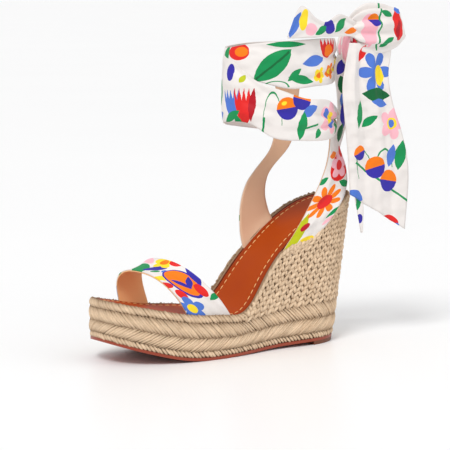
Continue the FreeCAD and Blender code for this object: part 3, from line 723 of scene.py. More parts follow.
def grid_normals(grid: Array, wrap: bool = False) -> Array:
    """Normals of a grid of points.

    Args:
        grid: Array of rows, columns and three coordinates.
        wrap: Whether the rows close on themselves.

    Returns:
        Unit normals, same size as the grid.
    """
    if wrap:
        along = np.roll(grid, -1, axis=0) - np.roll(grid, 1, axis=0)
    else:
        along = np.gradient(grid, axis=0)
    return unit(np.cross(along, np.gradient(grid, axis=1)))


def shell(grid: Array, cloth: Array, low: float, high: float, wrap: bool = False) -> Mesh:
    """A thin closed sheet over a grid, its thickness from low to high along the grid's normal.

    Args:
        grid: Rows, columns, coordinates.
        cloth: Rows, columns and two cloth coordinates.
        low, high: Offsets of the inner and the outer face.
        wrap: Whether the rows close on themselves.

    Returns:
        The mesh.
    """
    rows, columns = grid.shape[:2]
    normals = grid_normals(grid, wrap)
    count = rows * columns
    flat = np.concatenate([cloth, np.zeros((rows, columns, 1))], axis=2)
    outer = grid_faces(rows, columns, wrap)
    faces = outer + [tuple(corner + count for corner in reversed(face)) for face in outer]
    for i in range(rows if wrap else rows - 1):
        a, b = i * columns, (i + 1) % rows * columns
        faces.append((a, b, b + count, a + count))
        a, b = a + columns - 1, b + columns - 1
        faces.append((b, a, a + count, b + count))
    for j in range(0 if wrap else columns - 1):
        faces.append((j + 1, j, j + count, j + 1 + count))
        a = (rows - 1) * columns + j
        faces.append((a, a + 1, a + 1 + count, a + count))
    mesh = Mesh()
    mesh.add(np.stack([grid + normals * high, grid + normals * low]), faces, np.stack([flat, flat]))
    return mesh


# ---------------------------------------------------------------- the frame's own surfaces


class Surface:
    """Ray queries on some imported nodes, in millimetres."""

    def __init__(self, *names: str) -> None:
        """Gathers the nodes' faces.

        Args:
            names: Node names.
        """
        points: list[Vector] = []
        faces: list[tuple[int, ...]] = []
        for name in names:
            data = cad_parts[name].data
            start = len(points)
            points += [vertex.co / MM for vertex in data.vertices]
            faces += [tuple(corner + start for corner in face.vertices) for face in data.polygons]
        self.tree = BVHTree.FromPolygons(points, faces)

    def hit(self, origin: Sequence[float], direction: Sequence[float]) -> Vector | None:
        """First point that a ray meets, or None."""
        return self.tree.ray_cast(Vector(origin), Vector(direction))[0]


@dataclass
class Sole:
    """Plan outline and side profile of the sole, measured on the frame.

    A place on the wall is s, counted from the back of the heel along the outer side to the toe and back along the
    inner side, and a height z. The wall leans back above the heel.
    """

    level: float = 27.0
    length: float = 228.0
    heel_edge: float = 20.0
    lean: float = 19.0
    seat: float = 125.0
    row_drop: float = 6.3
    row_rise: float = 0.6
    spine: Pair = (-165.0, -15.0)

    def __post_init__(self) -> None:
        """Measures the outline at the level and the sock's profile."""
        wall = Surface("lower_braid_band", "upper_braid_band")
        front, back = self.spine
        step = 1.5
        rays: list[Pair] = [(back, math.radians(a)) for a in np.arange(0, -90, -step)]
        rays += [(x, -math.pi / 2) for x in np.arange(back, front, -step)]
        rays += [(front, math.radians(a)) for a in np.arange(-90, -270, -step)]
        rays += [(x, math.pi / 2) for x in np.arange(front, back, step)]
        rays += [(back, math.radians(a)) for a in np.arange(90, 0, -step)]
        found = []
        for x, angle in rays:
            out = (math.cos(angle), math.sin(angle), 0.0)
            point = wall.hit((x + out[0] * 200, out[1] * 200, self.level), (-out[0], -out[1], 0.0))
            if point is not None:
                found.append((point.x, point.y))
        loop = np.array(found + found[:1])
        run = run_along(loop)
        self.around = float(run[-1])
        self.s = np.arange(0, self.around, 1.0)
        flat = np.stack([np.interp(self.s, run, loop[:, k]) for k in (0, 1)], axis=1)
        for _ in range(3):
            flat = (np.roll(flat, 1, axis=0) + flat * 2 + np.roll(flat, -1, axis=0)) / 4
        along = np.roll(flat, -1, axis=0) - np.roll(flat, 1, axis=0)
        self.flat = flat
        self.out = unit(np.stack([along[:, 1], -along[:, 0]], axis=1))
        if (self.out * flat)[:, 1].mean() < 0:
            self.out = -self.out
        sock = Surface("leather_sock")
        xs = np.arange(-201.0, 32.5, 1.5)
        tops = [(x, hit.z) for x in xs if (hit := sock.hit((x, 0.0, 400.0), (0.0, 0.0, -1.0))) is not None]
        self.top_x, self.top_z = (np.array(column) for column in zip(*tops))

    def top(self, x: Array | float) -> Array:
        """Height of the sock at x, carried on straight beyond its ends."""
        x = np.asarray(x, float)
        inside = np.interp(x, self.top_x, self.top_z)
        first = (self.top_z[4] - self.top_z[0]) / (self.top_x[4] - self.top_x[0])
        last = (self.top_z[-1] - self.top_z[-5]) / (self.top_x[-1] - self.top_x[-5])
        return inside + np.minimum(x - self.top_x[0], 0) * first + np.maximum(x - self.top_x[-1], 0) * last

    def point(self, s: Array | float, z: Array | float, out: Array | float = 0.0) -> Array:
        """Points on the wall.

        Args:
            s: Place along the outline.
            z: Height.
            out: Distance outside the wall.

        Returns:
            Points, one row each.
        """
        s, z, out = np.broadcast_arrays(np.asarray(s, float), np.asarray(z, float), np.asarray(out, float))
        x, y, nx, ny = (np.interp(s, self.s, column, period=self.around) for column in (*self.flat.T, *self.out.T))
        x, y = x + nx * out, y + ny * out
        rate = 2 * self.lean / self.seat
        level = rate * self.level
        ground = (x - level * (0.5 - self.heel_edge / self.length)) / (1 + level / self.length)
        push = np.maximum(0.5 + (ground - self.heel_edge) / self.length, 0.0)
        x = np.where(push > 0, ground + rate * z * push, x)
        return np.stack([x, y, z], axis=-1)

    def normal(self, s: Array | float) -> Array:
        """Outward level directions."""
        nx, ny = (np.interp(s, self.s, column, period=self.around) for column in self.out.T)
        return unit(np.stack([nx, ny, np.zeros_like(nx)], axis=-1))

    def row_top(self, s: Array, drop: float = 0.0, out: float = -2.5) -> Array:
        """Height along the wall of the sock's profile lowered by drop."""
        z = np.full(np.shape(s), 40.0)
        for _ in range(12):
            z = self.top(self.point(s, z, out)[..., 0]) - drop
        return z

    def ledge(self, name: str, s: Array) -> Array:
        """Top height of a band's node along the wall."""
        surface = Surface(name)
        z = np.full(len(s), 30.0)
        for _ in range(3):
            points = self.point(s, z, -2.6)
            hits = [surface.hit((p[0], p[1], 400.0), (0.0, 0.0, -1.0)) for p in points]
            good = np.array([hit is not None for hit in hits])
            values = np.array([hit.z if hit is not None else 0.0 for hit in hits])
            z = np.interp(s, s[good], values[good], period=self.around)
        return z


# ---------------------------------------------------------------- jute


@dataclass(frozen=True)
class Row:
    """One row of slanting strands round the sole."""

    piece: str
    node: str
    pitch: float
    width: float
    thick: float
    slant: float
    reach: float = 1.0
    inset: float = 0.0
    limit: float = 1000.0


@dataclass
class JuteWork:
    """All the jute: the twisted row above the outsole, two plaited bands, the row at the insole and the wedge."""

    sole: Sole
    seed: int = 11
    rows: tuple[Row, ...] = (
        Row("foot_twist", "foot_rope_row", 3.4, 2.5, 2.0, 1.0, 1.05, 0.7),
        Row("lower_plait", "lower_braid_band", 3.0, 2.6, 2.4, -1.35, 1.16),
        Row("upper_plait", "upper_braid_band", 3.0, 2.6, 2.4, 1.0, 1.14),
        Row("insole_twist", "insole_rope_row", 3.4, 2.9, 2.9, 1.05, 1.0, 0.4, -84.0),
    )
    shift: float = 0.35
    lift: float = 0.3
    sizes: Pair = (0.78, 1.16)
    depths: Pair = (-0.45, 0.15)
    wedge_column: float = 8.0
    wedge_pitch: float = 4.4
    wedge_span: float = 136.0
    wedge_rise: float = 5.6
    wedge_size: Pair = (3.5, 2.5)
    narrowest: float = 0.62
    hem_ends: Pair = (2.0, 12.0)
    hem_drop: float = 3.4
    hem_half: float = 3.2
    hem_step: float = 4.0
    hem_size: Pair = (3.3, 2.6)
    lean_in: float = 0.85
    backing_inset: float = 2.0
    tie_dip: tuple[Pair, ...] = ((-50, 0), (-35, 6), (-17, 15), (-9, 14), (-2, 8), (14, 3), (24, 0))

    def __post_init__(self) -> None:
        """Measures the rows' edges."""
        self.rng = random.Random(self.seed)
        s = np.arange(0, self.sole.around, 4.0)
        self.grid = s
        stack = ("outsole", "foot_rope_row", "lower_braid_band", "upper_braid_band")
        ledges = [self.sole.ledge(name, s) for name in stack]
        self.edges = dict(zip(stack[1:], zip(ledges, ledges[1:])))
        self.edges["insole_rope_row"] = (self.sole.row_top(s, self.sole.row_drop),
                                         self.sole.row_top(s, -self.sole.row_rise))

    def edge(self, node: str, which: int, s: Array | float) -> Array:
        """Lower (0) or upper (1) edge of a row at s."""
        return np.interp(s, self.grid, self.edges[node][which], period=self.sole.around)

    def roof(self, s: Array | float) -> Array:
        """Upper edge of the wedge's plaits at s: the insole's line, lower where the outer tie comes out."""
        top = self.edge("insole_rope_row", 1, s)
        place = np.atleast_2d(self.sole.point(s, top))
        dip = np.where(place[:, 1] < 0, curve(self.tie_dip, np.clip(place[:, 0], -50, 24)), 0.0)
        return top - (dip if np.ndim(s) else float(dip[0]))

    def strand(self, mesh: Mesh, start: Pair, end: Pair, width: float, thick: float,
               out: float) -> None:
        """Adds one bundle of fibres that arches over the wall from start to end.

        Args:
            mesh: Where it goes.
            start, end: Wall places, as s and z.
            width, thick: Size in the middle.
            out: How far the crest's face stands outside the wall.
        """
        rings, sides = 7, 8
        t = np.linspace(0, 1, rings)
        s = start[0] + (end[0] - start[0]) * t + self.rng.uniform(-self.shift, self.shift)
        z = start[1] + (end[1] - start[1]) * t + self.rng.uniform(-self.lift, self.lift)
        crest = np.sin(math.pi * (0.06 + 0.88 * t)) ** 0.7
        size = self.rng.uniform(*self.sizes)
        centre = self.sole.point(s, z, out - thick / 2 - (1 - crest) * thick * 0.5 + self.rng.uniform(*self.depths))
        normal = self.sole.normal(s)
        along = unit(np.gradient(centre, axis=0))
        across = unit(np.cross(along, normal))
        normal = unit(np.cross(across, along))
        turn = around(sides)
        taper = (0.45 + 0.55 * crest)[:, None, None] * size
        ring = (across[:, None] * np.cos(turn)[None, :, None] * width / 2
                + normal[:, None] * np.sin(turn)[None, :, None] * thick / 2)
        length = math.dist(start, end)
        number = self.rng.uniform(0, 400)
        extra = np.zeros((rings, sides, 3))
        extra[..., 0] = (t * length)[:, None] + number
        extra[..., 1] = np.sin(turn / 2 + 0.4)[None, :] * width
        extra[..., 2] = number
        # painted shade: darker towards the strand's sunken ends and on its side facing the wall, times a random tone
        # per strand
        shade = (0.12 + 0.88 * crest)[:, None] * self.rng.uniform(0.8, 1.0) * (0.72 + 0.28 * np.sin(turn))[None, :]
        mesh.add(centre[:, None] + ring * taper, tube_faces(rings, sides), extra, shade.ravel())

    def backing(self, mesh: Mesh, s: Array, low: Array, high: Array, inset: float,
                closed: bool) -> None:
        """Adds the body behind a row of strands, painted dark as shade."""
        deep = inset + 2.2
        rows = [(low, -deep), (low, -inset), (high, -inset), (high, -deep)]
        grid = np.stack([self.sole.point(s, z, out) for z, out in rows], axis=1)
        # shade 0.25 paints the backing dark: painted shade behind and between the strands
        mesh.add(grid, grid_faces(len(s), len(rows), wrap_rows=closed, wrap_columns=True), numbers=0.25)

    def row(self, row: Row, material: Material) -> None:
        """Builds one row all the way round."""
        mesh = Mesh()
        count = round(self.sole.around / row.pitch)
        for number in range(count):
            s = self.sole.around * number / count
            if self.sole.point(s, 20.0)[0] > row.limit:
                continue
            low, high = float(self.edge(row.node, 0, s)), float(self.edge(row.node, 1, s))
            middle, half = (low + high) / 2, (high - low) / 2 * row.reach
            reach = half * row.slant
            low_end = float(self.edge(row.node, 0, s - reach)) - low
            high_end = float(self.edge(row.node, 1, s + reach)) - high
            self.strand(mesh, (s - reach, middle - half * 0.94 + low_end),
                        (s + reach, middle + half * 0.94 + high_end), row.width, row.thick, 0.25 - row.inset)
        s = self.grid
        high = self.roof(s) if row.limit < 0 else self.edges[row.node][1]
        self.backing(mesh, s, np.minimum(self.edges[row.node][0] + 0.2, high - 1), high - 0.2,
                     self.backing_inset + row.inset, True)
        self.place(mesh, row.piece, material, row.node)

    def wedge(self, side: int, material: Material) -> None:
        """Builds the fan of plaits over one side of the wedge.

        Args:
            side: 1 for the outer side and -1 for the inner side.
            material: The jute.
        """
        mesh = Mesh()
        word = "outer" if side > 0 else "inner"
        columns = round(self.wedge_span / self.wedge_column)
        for number in range(columns):
            base = (number + 0.5) * self.wedge_column
            floor = float(self.edge("upper_braid_band", 1, side * base))
            height = -1.0
            while True:
                squeeze = 1 - max(height, 0) * self.lean_in / self.wedge_span
                s = base * squeeze
                z = floor + height
                roof = float(self.roof(side * s))
                if z > roof - 1.8 or squeeze < 0.2:
                    break
                arm = self.wedge_column * squeeze * 0.52
                tip = min(z + self.wedge_rise, roof + 0.4)
                for direction in (-1, 1):
                    lean = -self.lean_in * base / self.wedge_span * (tip - z)
                    self.strand(mesh, (side * s, z - 0.6), (side * (s + lean + direction * arm), tip),
                                self.wedge_size[0] * max(squeeze, self.narrowest), self.wedge_size[1], 0.3)
                height += self.wedge_pitch
        for place in np.arange(self.wedge_span - self.hem_ends[1], self.hem_ends[0], -self.wedge_pitch * 0.8):
            middle = float(self.roof(side * place)) - self.hem_drop
            ahead = float(self.roof(side * (place - self.hem_step))) - self.hem_drop
            if ahead < float(self.edge("upper_braid_band", 1, side * place)):
                continue
            for direction in (-1, 1):
                self.strand(mesh, (side * (place + 1), middle),
                            (side * (place - self.hem_step), ahead + direction * self.hem_half), *self.hem_size, 0.5)
        s = np.arange(0, self.wedge_span + 6, 3.0) * side
        low = self.edge("upper_braid_band", 1, s) - 0.4
        high = np.maximum(self.roof(s) - 0.8, low)
        self.backing(mesh, s, low, high, self.backing_inset, False)
        self.place(mesh, f"wedge_plaits_{word}", material, f"wedge_braid_{word}")

    def place(self, mesh: Mesh, name: str, material: Material, node: str) -> None:
        """Makes the piece and lets it stand for its node."""
        settle(mesh.make(name, material, "strand"), "sole_unit", "jute", node)

    def build(self, material: Material) -> None:
        """Builds every jute piece."""
        for row in self.rows:
            self.row(row, material)
        for side in (1, -1):
            self.wedge(side, material)


# ---------------------------------------------------------------- insole


@dataclass
class Insole:
    """Leather sock with a rolled edge, a needle groove (depth, width), a swell (height, place) and a stitch."""

    sole: Sole
    edge_inset: float = 5.65
    stitch_in: float = 6.2
    stitch_pitch: float = 6.1
    stitch_length: float = 4.3
    stitch_radius: float = 0.42
    stitch_sink: float = 0.22
    roll_width: float = 1.7
    groove: Pair = (0.45, 0.7)
    swell: Pair = (0.5, 3.0)
    thickness: float = 1.2
    stations: int = 150
    columns: int = 41

    def loop(self, inset: float) -> Array:
        """Closed line on the sock's top, inset from the wall."""
        s = self.sole.s
        return self.sole.point(s, self.sole.row_top(s, 0.0, -inset), -inset)

    def sock(self, material: Material) -> None:
        """Builds the sock."""
        edge = self.loop(self.edge_inset)
        toe = int(np.argmin(edge[:, 0]))
        heel = int(np.argmax(edge[:, 0]))
        ring = np.roll(edge, -heel, axis=0)
        split = (toe - heel) % len(edge)
        outer, inner = ring[:split + 1][::-1], np.vstack([ring[split:], ring[:1]])
        low, high = edge[:, 0].min() + 0.05, edge[:, 0].max() - 0.05
        t = (1 - np.cos(np.linspace(0, math.pi, self.stations))) / 2
        xs = low + (high - low) * t
        y_out = np.interp(xs, outer[:, 0], outer[:, 1])
        y_in = np.interp(xs, inner[:, 0], inner[:, 1])
        c = np.sin(np.linspace(-1, 1, self.columns) * math.pi / 2)
        grid = np.zeros((self.stations, self.columns, 3))
        grid[..., 0] = xs[:, None]
        grid[..., 1] = ((y_out + y_in) / 2)[:, None] + ((y_in - y_out) / 2)[:, None] * c[None]
        flat = grid[..., :2].reshape(-1, 1, 2)
        border = np.sqrt(((flat - edge[None, :, :2]) ** 2).sum(-1)).min(1).reshape(grid.shape[:2])
        roll = np.clip(1 - border / self.roll_width, 0, 1) ** 2
        groove = self.groove[0] * np.exp(-((border - self.stitch_in) / self.groove[1]) ** 2)
        swell = self.swell[0] * np.clip(1 - abs(border - self.swell[1]) / self.swell[1], 0, 1)
        grid[..., 2] = self.sole.top(grid[..., 0]) - roll - groove + swell
        mesh = Mesh()
        count = self.stations * self.columns
        under = grid - np.array([0.0, 0.0, self.thickness])
        points = np.vstack([grid.reshape(-1, 3), under.reshape(-1, 3)])
        top = grid_faces(self.stations, self.columns)
        faces = [tuple(reversed(face)) for face in top] + [tuple(k + count for k in face) for face in top]
        rim = list(range(self.columns)) + [i * self.columns + self.columns - 1 for i in range(1, self.stations)]
        rim += [(self.stations - 1) * self.columns + j for j in range(self.columns - 2, -1, -1)]
        rim += [i * self.columns for i in range(self.stations - 2, 0, -1)]
        faces += [(a, b, b + count, a + count) for a, b in zip(rim, rim[1:] + rim[:1])]
        mesh.add(points, faces, points, np.concatenate([border.ravel(), border.ravel()]))
        settle(mesh.make("sock", material, number_name="border"), "sole_unit", "sock_leather", "leather_sock")

    def stitches(self, material: Material) -> None:
        """Builds the running stitch as separate short threads."""
        line = self.loop(self.edge_inset + self.stitch_in)
        closed = np.vstack([line, line[:1]])
        run = run_along(closed)
        count = round(run[-1] / self.stitch_pitch)
        mesh = Mesh()
        rings, sides = 6, 6
        turn = around(sides)
        t = np.linspace(0, 1, rings)
        arch = np.sin(math.pi * t)
        for number in range(count):
            at = run[-1] * number / count + t * self.stitch_length
            centre = np.stack([np.interp(at, run, closed[:, k], period=run[-1]) for k in range(3)], axis=1)
            centre[:, 2] += 0.12 * arch - self.stitch_sink
            along = unit(np.gradient(centre, axis=0))
            side = unit(np.cross(along, np.array([0.0, 0.0, 1.0])))
            up = np.cross(side, along)
            size = (self.stitch_radius * (0.35 + 0.65 * arch ** 0.4))[:, None, None]
            ring = (side[:, None] * np.cos(turn)[None, :, None] + up[:, None] * np.sin(turn)[None, :, None]) * size
            mesh.add(centre[:, None] + ring, tube_faces(rings, sides))
        settle(mesh.make("sock_stitching", material), "sole_unit", "sock_leather")

    def build(self, leather: Material, thread: Material) -> None:
        """Builds the sock and its stitching."""
        self.sock(leather)
        self.stitches(thread)


# ---------------------------------------------------------------- straps and scarf


def lined_strap(front: Array, back: Array, bulge: Array, facing: Sequence[float],
                names: Sequence[str], materials: Sequence[Material]) -> list[bpy.types.Object]:
    """Builds a printed cover and the tan lining under it between two edges.

    Args:
        front, back: The edges, one row per station.
        bulge: How far the strap stands off the flat between them, rows by columns.
        facing: Roughly where the printed side looks.
        names, materials: Names and materials of the cover and the lining.

    Returns:
        The two pieces, in their material slots.
    """
    rows, columns = bulge.shape
    v = np.linspace(0, 1, columns)
    grid = between(front, back, v)
    normals = grid_normals(grid)
    sign = 1.0 if normals[rows // 2, columns // 2] @ np.asarray(facing) > 0 else -1.0
    grid = grid + normals * (sign * bulge[..., None])
    across = (v[None] - 0.5) * np.linalg.norm(back - front, axis=1)[:, None]
    cloth = np.stack(np.broadcast_arrays(run_along((front + back) / 2)[:, None], across), axis=2)
    pieces = []
    for name, material, low, high in zip(names, materials, (0.0, -LINING), (CLOTH, -LAYER_GAP)):
        pieces.append(shell(grid, cloth, low * sign, high * sign).make(name, material))
    return pieces


@dataclass
class ToeBand:
    """Printed toe band over its tan lining. The crown is how far its middle stands off, negative to the foot."""

    sole: Sole
    front: Triple = (-147.6, -171.0, -167.4)
    back: Triple = (-105.5, -148.0, -138.9)
    rises: Pair = (31.0, 43.5)
    inset: float = 5.4
    tuck: float = 4.0
    crown: float = -1.6

    def edge_y(self, x: float, side: int) -> float:
        """Where the band meets the insole's edge at x, on the outer (-1) or inner (1) side."""
        s = self.sole.s
        line = self.sole.point(s, self.sole.row_top(s), -self.inset)
        keep = line[:, 1] * side > 0
        order = np.argsort(line[keep][:, 0])
        return float(np.interp(x, line[keep][order][:, 0], line[keep][order][:, 1]))

    def edge(self, places: Triple, rise: float, count: int) -> Array:
        """One edge of the band, from the outer to the inner side."""
        start, crest, end = places
        y_out, y_in = self.edge_y(start, -1), self.edge_y(end, 1)
        middle, half = (y_out + y_in) / 2, (y_in - y_out) / 2
        control = 2 * crest - (start + end) / 2
        foot = [(start, y_out, float(self.sole.top(start)) - self.tuck)]
        for i in range(15):
            share = i / 14
            turn = math.pi * share
            x = (1 - share) ** 2 * start + 2 * share * (1 - share) * control + share ** 2 * end
            base = float(self.sole.top(start)) * (1 - share) + float(self.sole.top(end)) * share
            side = math.copysign(abs(math.cos(turn)) ** 0.8, math.cos(turn))
            foot.append((x, middle - half * side, base + rise * math.sin(turn) ** 0.8))
        foot.append((end, y_in, float(self.sole.top(end)) - self.tuck))
        return smooth_path(foot, count)

    def build(self, printed: Material, tan: Material) -> None:
        """Builds the printed cover and the lining."""
        rows, columns = 90, 25
        lift = np.sin(math.pi * np.linspace(0, 1, rows)) ** 0.5
        bulge = self.crown * lift[:, None] * np.sin(math.pi * np.linspace(0, 1, columns))[None]
        pieces = lined_strap(self.edge(self.front, self.rises[0], rows), self.edge(self.back, self.rises[1], rows),
                             bulge, (0.0, 0.0, 1.0), ("toe_band_print", "toe_band_leather"), (printed, tan))
        for piece, slot, node in zip(pieces, STRAP_SLOTS, ("toe_band", "toe_band_lining")):
            settle(piece, "sole_unit", slot, node)


@dataclass
class Tie:
    """One ankle tie: printed outside, tan lining inside, from the insole up into the wrap."""

    word: str
    side: int
    fronts: tuple[Triple, ...]
    backs: tuple[Triple, ...]
    bulge: float = 0.9
    lean_start: Triple = (-0.026, 0.0, 0.112)
    lean_end: Triple = (-0.016, 0.0, 0.150)

    def build(self, printed: Material, tan: Material) -> None:
        """Builds both layers and hides the tie's imported anchor and riser nodes."""
        rows, columns = 80, 15
        bulge = np.tile(self.bulge * np.sin(math.pi * np.linspace(0, 1, columns)), (rows, 1))
        pieces = lined_strap(smooth_path(self.fronts, rows), smooth_path(self.backs, rows), bulge,
                             (0.0, self.side, 0.0), (f"{self.word}_tie_print", f"{self.word}_tie_lining"),
                             (printed, tan))
        for piece, slot, suffix in zip(pieces, STRAP_SLOTS, ("", "_lining")):
            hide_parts(f"{self.word}_tie_anchor{suffix}", f"{self.word}_tie_riser{suffix}")
            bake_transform(piece)


@dataclass
class Turn:
    """One turn of the scarf round the ankle: a closed band with creases that gather towards the knot."""

    name: str
    node: str
    half: Pair
    flat: Pair
    low: tuple[Pair, ...]
    high: tuple[Pair, ...]
    creases: tuple[Triple, ...]
    centre: float = -30.0
    bulge: float = 1.6
    crease_reach: float = 46.0
    crease_width: float = 0.07
    thickness: float = 0.9

    def grid(self, rows: int, columns: int) -> tuple[Array, Array]:
        """Points and cloth coordinates of the turn."""
        degrees = np.linspace(0, 360, rows, endpoint=False)
        turn = np.radians(degrees)
        a, b = self.half
        low, high = curve(self.low, degrees), curve(self.high, degrees)
        v = np.linspace(0, 1, columns)
        z = low[:, None] + (high - low)[:, None] * v[None]
        out = self.bulge * (np.sin(math.pi * v)[None] ** 0.7 - 1.0) * np.ones((rows, 1))
        for middle, place, depth in self.creases:
            near = np.exp(-((np.mod(degrees - middle + 180, 360) - 180) / self.crease_reach) ** 2)
            line = place + 0.10 * np.sin(turn * 2 + place * 9)
            out = out - depth * near[:, None] * np.exp(-((v[None] - line[:, None]) / self.crease_width) ** 2)
        out = out + 0.35 * np.sin(turn * 5 + 1.3)[:, None] * np.sin(v * 7)[None]
        x = self.centre + (a + out) * np.cos(turn)[:, None]
        y = (b + out) * np.sin(turn)[:, None]
        run = run_along(np.stack([a * np.cos(turn), b * np.sin(turn)], axis=1))
        cloth = np.stack(np.broadcast_arrays(run[:, None], z), axis=2)
        return np.stack(np.broadcast_arrays(x, y, z), axis=2), cloth

    def build(self, printed: Material) -> None:
        """Builds the turn as a sheet of the scarf."""
        points, cloth = self.grid(180, 29)
        piece = shell(points, cloth, -self.thickness, 0.0, wrap=True).make(self.name, printed)
        settle(piece, "ankle_wrap", "printed_cloth", self.node)


@dataclass
class FreeCloth:
    """A free part of the scarf: a sheet between two edge lines, with soft folds along it."""

    name: str
    nodes: tuple[str, ...]
    body: str
    lefts: tuple[Triple, ...]
    rights: tuple[Triple, ...]
    flat: Pair
    held: str
    folds: tuple[Triple, ...] = ()
    area: float | None = None
    thickness: float = 0.8
    rows: int = 70
    columns: int = 31

    def build(self, printed: Material) -> None:
        """Builds the sheet."""
        left, right = smooth_path(self.lefts, self.rows), smooth_path(self.rights, self.rows)
        v = np.linspace(0, 1, self.columns)
        u = np.linspace(0, 1, self.rows)
        grid = between(left, right, v)
        for place, width, depth in self.folds:
            fold = depth * np.exp(-((v[None] - place - 0.05 * np.sin(u * 5)[:, None]) / width) ** 2)
            grid[..., 1] -= fold * (1.0 - 0.55 * u[:, None]) * np.minimum(1, u[:, None] * 8)
        cloth = np.stack([grid[..., 0], grid[..., 2]], axis=2)
        piece = shell(grid, cloth, -self.thickness / 2, self.thickness / 2).make(self.name, printed)
        settle(piece, self.body, "printed_cloth", *self.nodes)


@dataclass
class Bag:
    """A puffed closed form along a line: the knot and the flared loop, pleated towards the knot."""

    name: str
    node: str
    body: str
    stations: tuple[tuple[float, float, float, float, float], ...]
    pleats: int
    pleat_depth: Pair
    rows: int = 60
    sides: int = 72

    def build(self, printed: Material) -> None:
        """Builds the form. A station is x, y, z and its half depth and half height."""
        path = smooth_path(self.stations, self.rows)
        along = unit(np.gradient(path[:, :3], axis=0))
        level = np.array([0.0, -1.0, 0.0])
        up = unit(np.cross(along, np.broadcast_to(level, along.shape)))
        if up[:, 2].mean() < 0:
            up = -up
        u = np.linspace(0, 1, self.rows)
        turn = around(self.sides)
        depth = self.pleat_depth[0] * (1 - u) + self.pleat_depth[1] * u
        ripple = 1 + depth[:, None] * np.sin(turn * self.pleats + 1.7 * np.sin(u * 3)[:, None])
        ripple = ripple + 0.03 * np.sin(turn * 3 + 4 * u[:, None])
        out = np.sin(turn)[None] * path[:, 3:4] * ripple
        tall = np.cos(turn)[None] * path[:, 4:5] * (1 + (ripple - 1) * 0.3)
        grid = path[:, None, :3] + level * out[..., None] + up[:, None] * tall[..., None]
        cloth = np.stack([grid[..., 0], grid[..., 2], np.zeros(grid.shape[:2])], axis=2)
        mesh = Mesh()
        mesh.add(grid, tube_faces(self.rows, self.sides), cloth)
        piece = mesh.make(self.name, printed)
        settle(piece, self.body, "printed_cloth", self.node)


# ---------------------------------------------------------------- stage


@dataclass
class Stage:
    """Pale floor, soft light and the camera, in metres."""

    camera_at: Triple = (-1.06799, -1.43533, 0.31283)
    camera_along: Triple = (0.56055, 0.81941, -0.11982)
    field_of_view: float = 12.1228
    floor_half: float = 60.0
    floor_drop: float = 0.0002
    sky: float = 0.66
    lamps: tuple[tuple[str, float, float, Triple], ...] = (
        ("key", 1.6, 20.0, (0.65, 0.45, -1.0)), ("fill", 0.35, 60.0, (-0.5, 0.6, -0.5)))

    def floor(self) -> None:
        """Builds the floor."""
        data = bpy.data.meshes.new("floor")
        corners = [(x * self.floor_half, y * self.floor_half, -self.floor_drop)
                   for x, y in ((-1, -1), (1, -1), (1, 1), (-1, 1))]
        data.from_pydata(corners, [], [(0, 1, 2, 3)])
        r = Recipe("pale_floor")
        cloud = r.noise(r.place(), 2.0, 2.0)
        data.materials.append(r.finish(r.mix(cloud, (0.97, 0.97, 0.975), (1.0, 1.0, 1.0)), 0.35,
                                       r.bump(r.noise(r.place(), 300.0), 0.00002), {"Specular IOR Level": 0.35}))
        show("floor", data)

    def lights(self) -> None:
        """Sets an even white surround, a soft key from the upper left and a weak fill."""
        world = bpy.data.worlds.new("studio")
        world.use_nodes = True
        sky = world.node_tree.nodes["Background"].inputs
        sky[0].default_value = (1.0, 1.0, 1.0, 1.0)
        sky[1].default_value = self.sky
        bpy.context.scene.world = world
        for name, power, size, toward in self.lamps:
            light = bpy.data.lights.new(name, "SUN")
            light.energy = power
            light.angle = math.radians(size)
            show(name, light).rotation_euler = Vector(toward).to_track_quat("-Z", "Y").to_euler()

    def camera(self) -> None:
        """Sets the camera."""
        data = bpy.data.cameras.new("camera")
        data.angle = math.radians(self.field_of_view)
        data.clip_end = 200.0
        camera = show("camera", data)
        turn = Vector(self.camera_along).to_track_quat("-Z", "Y").to_matrix().to_4x4()
        camera.matrix_world = Matrix.Translation(self.camera_at) @ turn
        bpy.context.scene.camera = camera

    def build(self) -> None:
        """Builds the whole stage and a plain view transform."""
        self.floor()
        self.lights()
        self.camera()
        bpy.context.scene.view_settings.view_transform = "Standard"


def build_hidden() -> None:
    """Dresses the pieces inside the sole and under it."""
    for names, finish in (
            (("steel_shank", "shank_rivets", "heel_nails", "strap_tacks"), Metal()),
            (("wedge_core",), Pressed("cork", tone(196, 150, 100), tone(150, 104, 62), 500.0)),
            (("insole_board",), Pressed("fibre_board", tone(150, 128, 100), tone(110, 92, 70), 1200.0)),
            (("insole_padding",), Pressed("foam", tone(236, 226, 200), tone(214, 202, 172), 900.0)),
            (("outsole",), Leather("outsole_leather", tone(150, 66, 44), tone(128, 50, 34), 900.0, 0.34)),
            (("heel_top_piece",), Leather("heel_rubber", tone(112, 66, 44), tone(92, 52, 34), 700.0, 0.5)),
            (("insole_binding",), Leather("binding_leather", tone(112, 50, 26), tone(86, 36, 18)))):
        material = finish.material()
        for name in names:
            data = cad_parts[name].data
            data.materials.clear()
            data.materials.append(material)


